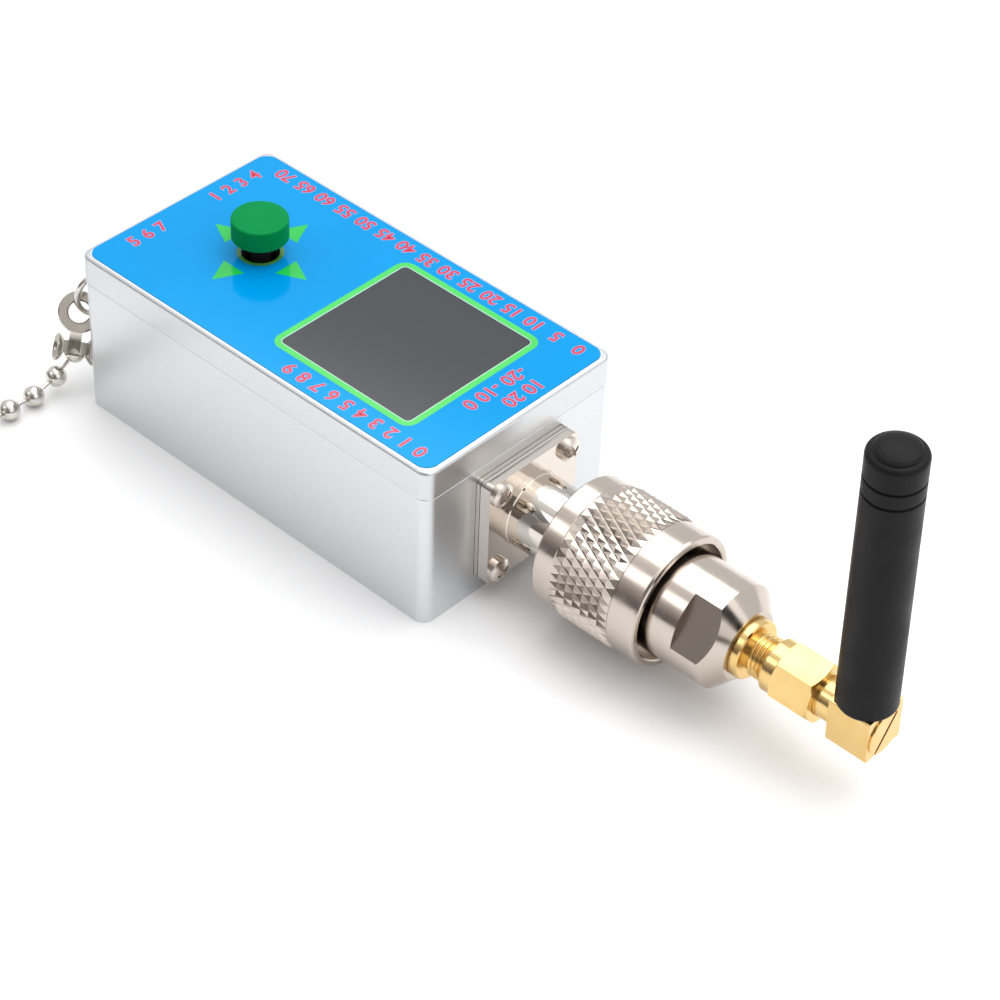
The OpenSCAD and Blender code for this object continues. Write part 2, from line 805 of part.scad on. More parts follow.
module screening_can() color([0.78, 0.78, 0.76]) {
    translate([can_x, 0, rf_board_top]) difference() {
        block(can_l, can_w, can_h);
        translate([0, 0, -cut]) block(can_l - 2 * can_t, can_w - 2 * can_t, can_h - can_t + cut);
        for (i = [-2:2], j = [-2:2]) translate([i * can_hole_step, j * can_hole_step, 0])
            cylinder(h = can_h + cut, d = can_hole_d);
    }
}

module board_chips() color([0.10, 0.10, 0.11]) {
    for (c = chips) translate([c[0] * board_l / 2, c[1] * board_w / 2, rf_board_top])
        block(c[2], c[2], chip_t);
    translate([can_x, 0, rf_board_top]) block(can_chip, can_chip, chip_t);
}

module board_header() color([0.14, 0.14, 0.15]) {
    translate([header_x, -header_y, rf_board_top]) difference() {
        block(header_pins * header_step, header_w, display_board_z - rf_board_top);
        for (p = [0:header_pins - 1], q = [-0.5, 0.5])
            translate([(p - (header_pins - 1) / 2) * header_step, q * header_step, -cut])
                block(header_pin, header_pin, header_bore_h + cut);
    }
}

module usb_c_socket() color([0.76, 0.76, 0.74]) {
    translate([half_l - usb_l, usb_y, rf_board_top + usb_h / 2]) rotate([90, 0, 90]) {
        difference() {
            linear_extrude(usb_l) rounded_rect(usb_w, usb_h, usb_h / 2 - skin);
            translate([0, 0, usb_back]) linear_extrude(usb_l)
                rounded_rect(usb_w - 2 * usb_sheet, usb_h - 2 * usb_sheet,
                    usb_h / 2 - usb_sheet - skin);
        }
        translate([0, 0, usb_back - skin]) linear_extrude(usb_l - usb_back - usb_tongue_short)
            square([usb_tongue_w, usb_tongue_t], center = true);
    }
}

module uart_socket() color([0.90, 0.88, 0.82]) {
    translate([half_l, uart_y, rf_board_top]) rotate([0, 0, 180]) {
        difference() {
            translate([0, -uart_w / 2, 0]) cube([uart_l, uart_w, uart_h]);
            translate([-cut, uart_side - uart_w / 2, uart_side])
                cube([uart_depth + cut, uart_w - 2 * uart_side, uart_h - 2 * uart_side]);
        }
        for (p = [0:uart_pins - 1])
            translate([uart_depth - uart_pin_l, (p - (uart_pins - 1) / 2) * uart_step, uart_h / 2])
                rotate([90, 0, 90]) linear_extrude(uart_pin_l + skin)
                    square(uart_pin, center = true);
    }
}

// Five-way key

module switch_base() color([0.11, 0.11, 0.12]) {
    translate([key_x, 0, display_board_top]) difference() {
        block(switch_side - 2 * switch_cover_t, switch_side - 2 * switch_cover_t, switch_h);
        translate([0, 0, switch_floor]) cylinder(h = switch_h + cut, r = cavity_r);
        translate([-switch_side, 0, key_pivot_z - display_board_top]) rotate([0, 90, 0])
            cylinder(h = 2 * switch_side, r = pivot_r + pivot_slip);
    }
}

module switch_cover() color([0.80, 0.79, 0.76]) {
    translate([key_x, 0, display_board_top]) difference() {
        block(switch_side, switch_side, switch_h + switch_cover_t);
        translate([0, 0, -cut]) block(switch_side - 2 * switch_cover_t + seat,
            switch_side - 2 * switch_cover_t + seat, switch_h + cut);
        cylinder(h = switch_h + cut, r = cover_hole_r);
        for (a = [0, 90]) rotate([0, 0, a])
            translate([0, 0, -cut]) block(2 * switch_side, switch_side / 2, cover_cut_h + cut);
    }
}

module switch_dome() color([0.85, 0.83, 0.78]) {
    translate([key_x, 0, display_board_top + switch_floor]) {
        cylinder(h = dome_sheet, r = dome_r);
        cylinder(h = dome_h, r = dome_r / 2);
        for (a = [0:90:270]) rotate([0, 0, a]) translate([cavity_r - dome_foot_in, 0, 0])
            cylinder(h = dome_sheet, r = dome_foot_r);
    }
}

module key_rocker() color([0.16, 0.16, 0.17]) {
    translate([key_x, 0, key_pivot_z]) {
        difference() {
            translate([0, 0, -rocker_t / 2]) cylinder(h = rocker_t, r = rocker_r);
            translate([0, 0, -rocker_t]) cylinder(h = 2 * rocker_t, r = rocker_in_r);
            translate([0, -rocker_r - cut, 0]) rotate([-90, 0, 0])
                cylinder(h = 2 * (rocker_r + cut), r = pivot_r + pivot_slip);
        }
        for (a = [0, 180]) rotate([0, 0, a])
            translate([rocker_r - pivot_root, 0, 0]) rotate([0, 90, 0])
                cylinder(h = rocker_pivot_l, r = pivot_r);
    }
}

module key_yoke() color([0.20, 0.20, 0.21]) {
    translate([key_x, 0, key_pivot_z]) {
        difference() {
            translate([0, 0, -rocker_t / 2]) cylinder(h = rocker_t, r = yoke_r);
            translate([0, 0, -rocker_t]) cylinder(h = 2 * rocker_t, d = stem_d + 2 * stem_slip);
        }
        for (a = [90, -90]) rotate([0, 0, a])
            translate([yoke_r - pivot_root, 0, 0]) rotate([0, 90, 0])
                cylinder(h = yoke_pivot_l, r = pivot_r);
    }
}

module key_stem() color([0.08, 0.08, 0.09]) {
    translate([key_x, 0, 0]) {
        translate([0, 0, stem_foot_z])
            cylinder(h = key_top_z + cap_socket - stem_foot_z, d = stem_d);
        translate([0, 0, stem_foot_z - nib_l]) cylinder(h = nib_l + skin, r = nib_r);
        translate([0, 0, key_pivot_z + rocker_t / 2 + key_travel + stem_collar_gap])
            cylinder(h = stem_collar_h, d = stem_d + 2 * stem_collar_out);
    }
}

module key_cap() color([0.0, 0.62, 0.33]) {
    translate([key_x, 0, key_top_z]) rotate_extrude() polygon(concat(
        [[stem_d / 2 + seat, 0], [cap_d / 2 - cap_edge_r, 0], [cap_d / 2, cap_edge_r]],
        [for (a = [0:15:90]) [cap_d / 2 - cap_edge_r * (1 - cos(a)),
            cap_h - cap_edge_r * (1 - sin(a))]],
        [[0, cap_h], [0, cap_socket], [stem_d / 2 + seat, cap_socket]]
    ));
}

// N jack on the case

module flange_outline() {
    rounded_rect(flange_side, flange_side, flange_r);
}

module flange_backing() color([0.70, 0.68, 0.64]) {
    on_axis() difference() {
        linear_extrude(backing_t) flange_outline();
        translate([0, 0, -cut]) cylinder(h = backing_t + 2 * cut, d = panel_hole_d);
        at_corners(flange_pitch / 2, flange_pitch / 2) translate([0, 0, -cut])
            cylinder(h = backing_t + 2 * cut, d = flange_screw_d + screw_way);
    }
}

module n_jack_body() color([0.78, 0.75, 0.71]) {
    difference() {
        union() {
            on_axis(flange_s) linear_extrude(flange_t) flange_outline();
            turned([
                [0, -jack_rear_l], [jack_rear_d / 2, -jack_rear_l],
                [jack_rear_d / 2, boss_s - skin], [boss_d / 2, boss_s - skin],
                [boss_d / 2, neck_s - soft_edge], [boss_d / 2 - soft_edge, neck_s],
                [neck_d / 2, neck_s], [neck_d / 2, thread_s],
                [jack_thread_d / 2 - thread_relief, thread_s],
                [jack_thread_d / 2, thread_s + thread_relief],
                [jack_thread_d / 2, jack_s - thread_relief],
                [jack_thread_d / 2 - thread_relief, jack_s], [0, jack_s]
            ]);
        }
        on_axis(jack_s - jack_socket_depth) cylinder(h = jack_socket_depth + cut, d = jack_bore_d);
        on_axis(-jack_rear_l - cut) cylinder(h = jack_s + jack_rear_l, d = insulator_d);
        on_axis(flange_s - cut) at_corners(flange_pitch / 2, flange_pitch / 2)
            cylinder(h = flange_t + 2 * cut, d = flange_screw_d + screw_way);
    }
}

module n_jack_insulator() color([0.93, 0.93, 0.90]) {
    collar(-jack_rear_l, jack_s - jack_socket_depth + jack_rear_l, insulator_d, jack_contact_d);
}

module n_jack_contact() color([0.88, 0.72, 0.36]) {
    difference() {
        union() {
            on_axis(-jack_rear_l)
                cylinder(h = jack_s - contact_back + jack_rear_l, d = jack_contact_d);
            on_axis(-jack_rear_l - solder_pin_l) cylinder(h = solder_pin_l + skin, d = rf_pin_d);
        }
        on_axis(jack_s - contact_back - contact_bore_l)
            cylinder(h = contact_bore_l + cut, d = contact_bore_d);
        on_axis(jack_s - contact_back - contact_bore_l + contact_slot_back)
            for (a = [45, 135]) rotate([0, 0, a])
                translate([-jack_contact_d, -contact_slot_w / 2, 0])
                    cube([2 * jack_contact_d, contact_slot_w, contact_bore_l]);
    }
}

module flange_screws() color([0.72, 0.69, 0.64]) {
    on_axis(boss_s) at_corners(flange_pitch / 2, flange_pitch / 2)
        rotate([0, 0, flange_screw_turn]) pan_screw(flange_screw_d, boss_s + wall - screw_end_gap,
            flange_screw_head_d, flange_screw_head_h, small_cross_w);
}

// N coupling nut and adapter

module n_nut_shell() {
    turned([
        [nut_mouth_r, nut_s], [nut_band_r - nut_edge, nut_s], [nut_band_r, nut_s + nut_edge],
        [nut_band_r, nut_s + nut_front_band], [nut_r, nut_s + nut_front_band + knurl_rise],
        [nut_r, nut_end_s - nut_rear_band - knurl_rise], [nut_band_r, nut_end_s - nut_rear_band],
        [nut_band_r, nut_end_s - nut_heel - soft_edge / 3],
        [nut_band_r - soft_edge, nut_end_s - soft_edge],
        [nut_band_r - nut_heel, nut_end_s], [nut_recess_d / 2 + soft_edge, nut_end_s],
        [nut_recess_d / 2, nut_end_s - soft_edge],
        [nut_recess_d / 2, nut_lip_s + nut_lip_t], [nut_lip_r, nut_lip_s + nut_lip_t],
        [nut_lip_r, nut_lip_s], [chamber_r, nut_lip_s], [chamber_r, jack_s],
        [jack_thread_d / 2 + slip, jack_s - nut_chamfer_in],
        [jack_thread_d / 2 + slip, nut_s + nut_mouth + nut_chamfer],
        [nut_mouth_r, nut_s + nut_mouth]
    ]);
}

module n_nut() color([0.80, 0.77, 0.73]) {
    n_nut_shell();
}

module n_nut_ring() color([0.62, 0.60, 0.57]) {
    difference() {
        collar(ring_groove_s, retainer_t, 2 * retainer_out_r, 2 * retainer_in_r);
        on_axis(ring_groove_s - cut) translate([0, -ring_slit / 2, 0])
            cube([retainer_out_r + cut, ring_slit, retainer_t + 2 * cut]);
    }
}

module n_gasket() color([0.55, 0.20, 0.12]) {
    collar(jack_s, gasket_t, gasket_out_d, gasket_in_d);
}

module adapter_body() color([0.79, 0.76, 0.72]) {
    difference() {
        turned([
            [0, jack_s - plug_shell_l], [plug_shell_d / 2 - nut_edge, jack_s - plug_shell_l],
            [plug_shell_d / 2, jack_s - plug_shell_l + plug_nose], [plug_shell_d / 2, body_s],
            [adapter_d / 2, body_s], [adapter_d / 2, ring_groove_s - seat],
            [retainer_in_r - seat, ring_groove_s - seat],
            [retainer_in_r - seat, ring_groove_s + retainer_t + seat],
            [adapter_d / 2, ring_groove_s + retainer_t + seat],
            [adapter_d / 2, adapter_end], [cone_tip_d / 2, cone_s], [0, cone_s]
        ]);
        on_axis(jack_s - plug_shell_l - cut)
            cylinder(h = plug_shell_l + cut + plug_shell_over, d = plug_shell_in);
        on_axis(jack_s) cylinder(h = cone_s - jack_s - sma_tail_l, d = adapter_bore_d);
        on_axis(cone_s - sma_tail_l - tail_step)
            cylinder(h = sma_tail_l + tail_step + cut, d = sma_tail_d);
        for (a = [45, 225]) on_axis(flat_s) rotate([0, 0, a])
            translate([adapter_flats / 2, -adapter_d, 0])
                cube([adapter_d, 2 * adapter_d, flats_l + cone_l + cut]);
    }
}

module adapter_insulator() color([0.93, 0.93, 0.90]) {
    difference() {
        turned([
            [sma_contact_d / 2, jack_s + bead_back], [adapter_bore_d / 2, jack_s + bead_back],
            [adapter_bore_d / 2, cone_s - sma_tail_l], [sma_insulator_d / 2, cone_s - sma_tail_l],
            [sma_insulator_d / 2, sma_face_s - sma_socket_depth],
            [sma_contact_d / 2, sma_face_s - sma_socket_depth]
        ]);
        on_axis(jack_s)
            cylinder(h = cone_s - sma_tail_l - tail_step - jack_s, d = adapter_stem_d);
    }
}

module adapter_pin() color([0.88, 0.72, 0.36]) {
    turned([
        [0, jack_s - plug_pin_l], [plug_pin_d / 2 - plug_pin_point, jack_s - plug_pin_l],
        [plug_pin_d / 2, jack_s - plug_pin_l + plug_pin_taper], [plug_pin_d / 2, jack_s],
        [adapter_stem_d / 2, jack_s], [adapter_stem_d / 2, cone_s - sma_tail_l - tail_step],
        [sma_contact_d / 2, cone_s - sma_tail_l - tail_step],
        [sma_contact_d / 2, sma_face_s - sma_contact_back],
        [sma_contact_bore_d / 2, sma_face_s - sma_contact_back],
        [sma_contact_bore_d / 2, sma_face_s - sma_contact_back - sma_contact_bore_l],
        [0, sma_face_s - sma_contact_back - sma_contact_bore_l]
    ]);
}

module sma_jack() color([0.90, 0.74, 0.36]) {
    difference() {
        turned([
            [0, cone_s - sma_tail_l], [sma_tail_d / 2, cone_s - sma_tail_l],
            [sma_tail_d / 2, collar_s], [sma_collar_d / 2 - sma_collar_edge, collar_s],
            [sma_collar_d / 2, collar_s + sma_collar_edge],
            [sma_collar_d / 2, sma_neck_s - sma_edge],
            [sma_collar_d / 2 - sma_edge, sma_neck_s], [sma_neck_d / 2, sma_neck_s],
            [sma_neck_d / 2, sma_thread_s], [sma_thread_d / 2 - sma_edge, sma_thread_s],
            [sma_thread_d / 2, sma_thread_s + sma_edge],
            [sma_thread_d / 2, sma_face_s - sma_edge],
            [sma_thread_d / 2 - sma_edge, sma_face_s], [0, sma_face_s]
        ]);
        on_axis(cone_s - sma_tail_l - cut)
            cylinder(h = sma_face_s - cone_s + sma_tail_l + 2 * cut, d = sma_insulator_d);
        on_axis(sma_face_s - sma_socket_depth)
            cylinder(h = sma_socket_depth + cut, d = sma_bore_d);
    }
}

// SMA nut, elbow and antenna

module sma_nut() color([0.91, 0.75, 0.37]) {
    difference() {
        on_axis(sma_nut_s) {
            cylinder(h = sma_nose_l + skin, d = sma_hex - 2 * sma_nose_step);
            translate([0, 0, sma_nose_l]) intersection() {
                rotate([0, 0, sma_nut_turn])
                    cylinder(h = sma_nut_l - sma_nose_l, d = sma_hex / cos(30), $fn = 6);
                rotate_extrude() polygon([
                    [0, 0], [sma_hex / 2, 0], [sma_hex / 2 + sma_hex_corner, sma_hex_chamfer],
                    [sma_hex / 2 + sma_hex_corner, sma_nut_l - sma_nose_l - sma_hex_chamfer],
                    [sma_hex / 2, sma_nut_l - sma_nose_l], [0, sma_nut_l - sma_nose_l]
                ]);
            }
        }
        on_axis(sma_nut_s - cut) cylinder(h = sma_face_s - sma_nut_s + cut + skin,
            d = sma_thread_d + 2 * slip);
        on_axis(sma_nut_s - cut)
            cylinder(h = sma_nut_relief + cut, d = sma_thread_d + 2 * sma_mouth_way);
        on_axis(sma_face_s) cylinder(h = sma_lip_s - sma_face_s, r = sma_chamber_r);
        on_axis(sma_lip_s - cut) cylinder(h = sma_nut_end - sma_lip_s + 2 * cut, r = sma_lip_r);
    }
}

module sma_nut_ring() color([0.62, 0.60, 0.57]) {
    difference() {
        collar(sma_groove_s, sma_ring_t, 2 * sma_ring_out, 2 * sma_ring_in);
        on_axis(sma_groove_s - cut) translate([0, -sma_ring_slit / 2, 0])
            cube([sma_ring_out + cut, sma_ring_slit, sma_ring_t + 2 * cut]);
    }
}

module sma_gasket() color([0.75, 0.25, 0.15]) {
    collar(sma_face_s, sma_gasket_t, sma_gasket_out_d, sma_gasket_in_d);
}

module elbow_body() color([0.89, 0.72, 0.34]) {
    leaning() difference() {
        union() {
            turned([
                [0, sma_face_s - sma_shell_l],
                [sma_shell_d / 2 - sma_collar_edge, sma_face_s - sma_shell_l],
                [sma_shell_d / 2, sma_face_s - sma_shell_l + sma_edge],
                [sma_shell_d / 2, sma_face_s + sma_gasket_t],
                [ferrule_d / 2, sma_face_s + sma_gasket_t], [ferrule_d / 2, sma_groove_s - seat],
                [sma_ring_in - seat, sma_groove_s - seat],
                [sma_ring_in - seat, sma_groove_s + sma_ring_t + seat],
                [ferrule_d / 2, sma_groove_s + sma_ring_t + seat],
                [ferrule_d / 2, block_s + skin], [0, block_s + skin]
            ]);
            on_axis(block_s) translate([elbow_rise, 0, 0]) linear_extrude(elbow_l)
                rounded_rect(elbow_side, elbow_side, elbow_corner_r);
            translate([-half_l - sheath_s, 0, axis_z + elbow_top - skin])
                cylinder(h = sheath_foot_h + skin, d = sheath_bore_d);
        }
        on_axis(sma_face_s - sma_shell_l - cut)
            cylinder(h = block_s - sma_face_s + sma_shell_l + cut, r = sma_shell_in);
        on_axis(block_s - cut) cylinder(h = elbow_l + 2 * cut, d = elbow_bore_d);
        on_axis(block_end_s - elbow_cap_t) cylinder(h = elbow_cap_t + cut, d = elbow_cap_d + 2 * seat);
        translate([-half_l - sheath_s, 0, axis_z])
            cylinder(h = elbow_top + sheath_foot_h + cut, d = core_d);
    }
}

module elbow_insulator() color([0.93, 0.93, 0.90]) {
    leaning() collar(sma_face_s, block_s - sma_face_s, 2 * sma_shell_in, sma_pin_d);
}

module elbow_pin() color([0.90, 0.76, 0.42]) {
    leaning() on_axis(sma_face_s - sma_pin_l)
        cylinder(h = sheath_s - sma_face_s + sma_pin_l + sma_pin_past, d = sma_pin_d);
}

module elbow_cap() color([0.92, 0.78, 0.42]) {
    leaning() on_axis(block_end_s - elbow_cap_t) difference() {
        cylinder(h = elbow_cap_t + elbow_cap_out, d = elbow_cap_d);
        rotate([0, 0, 90 - elbow_slot_turn])
            translate([-elbow_cap_d, -elbow_slot_w / 2,
                    elbow_cap_t + elbow_cap_out - elbow_slot_depth])
                cube([2 * elbow_cap_d, elbow_slot_w, elbow_slot_depth + cut]);
    }
}

module antenna_core() color([0.88, 0.86, 0.80]) {
    leaning() translate([-half_l - sheath_s, 0, axis_z + sma_pin_d / 2 + core_foot]) difference() {
        cylinder(h = elbow_top + sheath_l - core_drop, d = core_rod_d);
        translate([0, 0, -cut]) cylinder(h = elbow_top + sheath_l, d = wire_d + core_way);
    }
}

// Copper radiator that stands on the elbow's pin, inside the core
module antenna_wire() color([0.80, 0.50, 0.25]) {
    leaning() translate([-half_l - sheath_s, 0, axis_z + sma_pin_d / 2])
        cylinder(h = elbow_top + sheath_l - wire_drop, d = wire_d);
}

module antenna_sheath() color([0.14, 0.13, 0.14]) {
    top = elbow_top + sheath_l;
    r_top = sheath_top_d / 2;
    leaning() translate([-half_l - sheath_s, 0, axis_z]) difference() {
        rotate_extrude() polygon(concat(
            [[0, elbow_top], [sheath_d / 2 - sheath_edge, elbow_top],
                [sheath_d / 2, elbow_top + sheath_edge_h]],
            [for (depth = sheath_grooves) each [
                [r_top, top - depth - groove_w / 2],
                [r_top - groove_depth, top - depth - groove_w / 4],
                [r_top - groove_depth, top - depth + groove_w / 4],
                [r_top, top - depth + groove_w / 2]]],
            [for (a = [0:15:90]) [r_top - shoulder_r * (1 - cos(a)),
                top - shoulder_r * (1 - sin(a))]],
            [[tip_r + tip_groove / 2, top - tip_groove]],
            [for (a = [0:15:90]) [tip_r * cos(a), top + tip_h * sin(a)]]
        ));
        translate([0, 0, -cut])
            cylinder(h = elbow_top + sheath_foot_h + cut, d = sheath_bore_d);
        cylinder(h = top - sheath_roof, d = core_rod_d + 2 * core_way);
    }
}

// Key chain

module lanyard_lug() color([0.72, 0.70, 0.66]) {
    translate([half_l, lug_y, lug_z]) {
        difference() {
            translate([0, -lug_foot / 2, -lug_foot_h])
                cube([lug_t, lug_foot, lug_foot_h + lug_eye_r]);
            translate([-cut, 0, lug_screw_drop]) rotate([0, 90, 0])
                cylinder(h = lug_t + 2 * cut, d = board_screw_d + screw_way);
        }
        difference() {
            union() {
                translate([lug_t - skin, -lug_t / 2, -lug_eye_r])
                    cube([lug_hole_x - lug_t, lug_t, 2 * lug_eye_r]);
                translate([lug_hole_x, lug_t / 2, 0]) rotate([90, 0, 0])
                    cylinder(h = lug_t, r = lug_eye_r);
            }
            translate([lug_hole_x, lug_t / 2 + cut, 0]) rotate([90, 0, 0])
                cylinder(h = lug_t + 2 * cut, d = lug_hole_d);
        }
    }
}

module lug_screw() color([0.72, 0.69, 0.64]) {
    translate([half_l + lug_t, lug_y, lug_z + lug_screw_drop]) rotate([0, 90, 0])
        pan_screw(board_screw_d, lug_t + wall - screw_end_gap, board_screw_head_d,
            board_screw_head_h, small_cross_w);
}

module split_ring() color([0.76, 0.74, 0.70]) {
    translate(ring_at) rotate([0, 90 + ring_lean, ring_turn])
        rotate_extrude() translate([ring_d / 2, 0]) circle(d = ring_wire_d);
}

// Stamped tab: an eye, a neck and two dished cups at the sides of the first ball
module chain_tab() color([0.77, 0.75, 0.71]) {
    translate(eye_at) rotate([tab_lean, 0, tab_turn]) rotate([0, 0, tab_swing]) {
        difference() {
            union() {
                translate([0, 0, tab_t / 2 - eye_t]) cylinder(h = eye_t, d = eye_d);
                translate([-tab_neck_w / 2, -cup_drop - tab_foot, -tab_t / 2])
                    cube([tab_neck_w, cup_drop + tab_foot, tab_t]);
                translate([-cup_gap / 2, -cup_drop - cup_arm / 2, -tab_t / 2])
                    cube([cup_gap, cup_arm, tab_t]);
            }
            translate([0, 0, -eye_t]) cylinder(h = 2 * eye_t, d = eye_hole_d);
        }
        for (i = [-1, 1]) translate([i * cup_gap / 2, -cup_drop, 0])
            rotate([0, i * cup_fold, 0]) translate([i * cup_r * 0.85, 0, -tab_t / 2])
                difference() {
                    cylinder(h = tab_t, r = cup_r);
                    translate([0, 0, tab_t / 2]) cylinder(h = cut, r = cup_r - cup_rim);
                }
    }
}

// Direction of link i and place of ball i
function link_fall(i) = i < stretch_links ? link_falls[i] : 0;
function link_heading(i) = i < stretch_links ? link_headings[i]
    : link_headings[stretch_links - 1] - loop_turn * (i - stretch_links + 1);
function link_step(i) = ball_pitch * [
    cos(link_fall(i)) * cos(link_heading(i)),
    cos(link_fall(i)) * sin(link_heading(i)),
    -sin(link_fall(i))];
chain_start_z = ball_r + ball_pitch * (sin(link_falls[0]) + sin(link_falls[1]));
function ball_at(i) = i == 0 ? [chain_start_x, chain_start_y, chain_start_z]
    : ball_at(i - 1) + link_step(i - 1);
link_total = stretch_links + loop_links;

// Turns its children so that their +Z points along a link
module along_link(i) {
    rotate([0, 0, link_heading(i)]) rotate([0, 90 + link_fall(i), 0]) children();
}

// Sheet ball with a hole at both ends of its Z axis
module hollow_ball() {
    rotate_extrude() difference() {
        translate([ball_hole_d / 2, -ball_r]) square([ball_r, ball_d]);
        difference() {
            square(2 * ball_d, center = true);
            circle(ball_r);
        }
        circle(ball_r - ball_sheet);
    }
}

// Each ball turns halfway between the two links that it joins
module chain_balls() color([0.80, 0.79, 0.77]) {
    for (i = [0:link_total]) translate(ball_at(i)) {
        before = max(i - 1, 0);
        after = min(i, link_total - 1);
        rotate([0, 0, (link_heading(before) + link_heading(after)) / 2])
            rotate([0, 90 + (link_fall(before) + link_fall(after)) / 2, 0]) hollow_ball();
    }
}

module chain_links() color([0.70, 0.68, 0.65]) {
    head = ball_r - ball_sheet - link_head_d / 2 - link_play;
    for (i = [0:link_total - 1]) translate(ball_at(i)) along_link(i) {
        translate([0, 0, head]) cylinder(h = ball_pitch - 2 * head, d = link_d);
        for (z = [head, ball_pitch - head]) translate([0, 0, z]) sphere(d = link_head_d);
    }
}

// Channel-shaped clasp over the last ball, open below, with a slot for the link
module chain_clasp() color([0.77, 0.75, 0.71]) {
    last = link_total;
    translate(ball_at(last)) rotate([0, 0, link_heading(last - 1)])
        translate([clasp_l / 2 - tab_t - ball_r - clasp_gap, 0, -ball_r]) difference() {
            linear_extrude(ball_d + clasp_gap + tab_t)
                rounded_rect(clasp_l, clasp_w + 2 * tab_t, clasp_w / 2);
            translate([0, 0, -cut]) linear_extrude(ball_d + clasp_gap + cut)
                rounded_rect(clasp_l - 2 * tab_t, clasp_w, clasp_w / 2 - tab_t);
            translate([-clasp_l, -clasp_slot_w / 2, -cut])
                cube([clasp_l, clasp_slot_w, ball_r + clasp_slot_w / 2 + cut]);
        }
}

case_tub();
case_lid();
lid_screws();
label_plate();
display_window();
display_module();
display_foam();
display_board();
display_board_screws();
rf_board();
rf_board_screws();
screening_can();
board_chips();
board_header();
usb_c_socket();
uart_socket();
switch_base();
switch_cover();
switch_dome();
key_rocker();
key_yoke();
key_stem();
key_cap();
flange_backing();
n_jack_body();
n_jack_insulator();
n_jack_contact();
flange_screws();
n_nut();
n_nut_ring();
n_gasket();
adapter_body();
adapter_insulator();
adapter_pin();
sma_jack();
sma_nut();
sma_nut_ring();
sma_gasket();
elbow_body();
elbow_insulator();
elbow_pin();
elbow_cap();
antenna_core();
antenna_wire();
antenna_sheath();
lanyard_lug();
lug_screw();
split_ring();
chain_tab();
chain_balls();
chain_links();
chain_clasp();
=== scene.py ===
import math

import bmesh
import bpy
from mathutils import Matrix, Vector


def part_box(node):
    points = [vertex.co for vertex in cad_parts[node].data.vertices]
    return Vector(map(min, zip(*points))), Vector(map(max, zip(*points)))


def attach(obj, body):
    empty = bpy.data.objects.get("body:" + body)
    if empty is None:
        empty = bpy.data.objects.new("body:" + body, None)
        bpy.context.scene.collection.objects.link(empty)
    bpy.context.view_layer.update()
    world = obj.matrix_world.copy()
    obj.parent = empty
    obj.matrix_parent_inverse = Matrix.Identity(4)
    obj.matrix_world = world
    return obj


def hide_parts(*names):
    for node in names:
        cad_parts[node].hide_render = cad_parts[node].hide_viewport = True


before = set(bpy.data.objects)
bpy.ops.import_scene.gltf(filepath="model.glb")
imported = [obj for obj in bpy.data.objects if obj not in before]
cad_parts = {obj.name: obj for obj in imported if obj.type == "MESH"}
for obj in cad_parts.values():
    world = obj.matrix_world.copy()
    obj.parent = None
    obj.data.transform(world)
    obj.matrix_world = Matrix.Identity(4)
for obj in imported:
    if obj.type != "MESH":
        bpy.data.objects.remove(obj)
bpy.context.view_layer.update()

# Camera: a long lens that looks down on the input end from the near long side,
# turned a little about its own line, as the photograph was taken.
mm = 0.001
aim_point = Vector((-29.836, -1.317, 7.993)) * mm
stand_off = 413.807 * mm
azimuth = math.radians(221.446)
elevation = math.radians(41.09)
roll = math.radians(2.453)
lens_mm = 106.98
sensor_mm = 36
back = Vector((
    math.sin(azimuth) * math.cos(elevation),
    -math.cos(azimuth) * math.cos(elevation),
    math.sin(elevation),
))
level_right = Vector((0, 0, 1)).cross(back).normalized()
level_up = back.cross(level_right)
right = math.cos(roll) * level_right + math.sin(roll) * level_up
up = math.cos(roll) * level_up - math.sin(roll) * level_right
turn = Matrix((right, up, back)).transposed()
camera_data = bpy.data.cameras.new("camera")
camera_data.lens = lens_mm
camera_data.sensor_width = sensor_mm
camera_data.clip_start = mm
camera = bpy.data.objects.new("camera", camera_data)
camera.matrix_world = Matrix.Translation(aim_point + stand_off * back) @ turn.to_4x4()
bpy.context.collection.objects.link(camera)
bpy.context.scene.camera = camera

# Ball chain: hollow balls rolled from thin nickel-plated strip, joined by pins
# with a small head inside each ball. It leaves the tab, drops to the table and
# lies there in an open loop that ends in its clasp.
ball_d = 3.2 * mm
ball_pitch = 4.6 * mm
ball_hole_r = 0.6 * mm
ball_lip = 0.12 * mm
pin_r = 0.29 * mm
loop_r = 16 * mm
loop_links = 15
link_falls = [44, 16, 0, 0, 0, 0]
link_headings = [76, 90, 90, 90, 90, 90]
chain_start_x = 38.6 * mm
chain_start_y = 17.3 * mm
chain_start = Vector((chain_start_x, chain_start_y, 0))
loop_step = 2 * math.degrees(math.asin(ball_pitch / (2 * loop_r)))
link_headings += [link_headings[-1] - loop_step * (n + 1) for n in range(loop_links)]
link_falls += [0] * loop_links


def link_line(fall, heading):
    """Direction of a link that falls and heads so many degrees."""
    fall, heading = math.radians(fall), math.radians(heading)
    level = math.cos(fall)
    return Vector((level * math.cos(heading), level * math.sin(heading), -math.sin(fall)))


link_lines = [link_line(f, h) for f, h in zip(link_falls, link_headings)]
chain_start.z = ball_d / 2 - ball_pitch * sum(line.z for line in link_lines)
ball_places = [chain_start]
for line in link_lines:
    ball_places.append(ball_places[-1] + ball_pitch * line)


def rings_of(shape, outline, steps, place, line):
    """Turns an outline of (distance along the line, radius) into rings of corners."""
    side = line.orthogonal().normalized()
    other = line.cross(side)
    rings = []
    for along, radius in outline:
        middle = place + along * line
        ring = []
        for k in range(steps):
            angle = 2 * math.pi * k / steps
            reach = radius * (math.cos(angle) * side + math.sin(angle) * other)
            ring.append(shape.verts.new(middle + reach))
        rings.append(ring)
    return rings


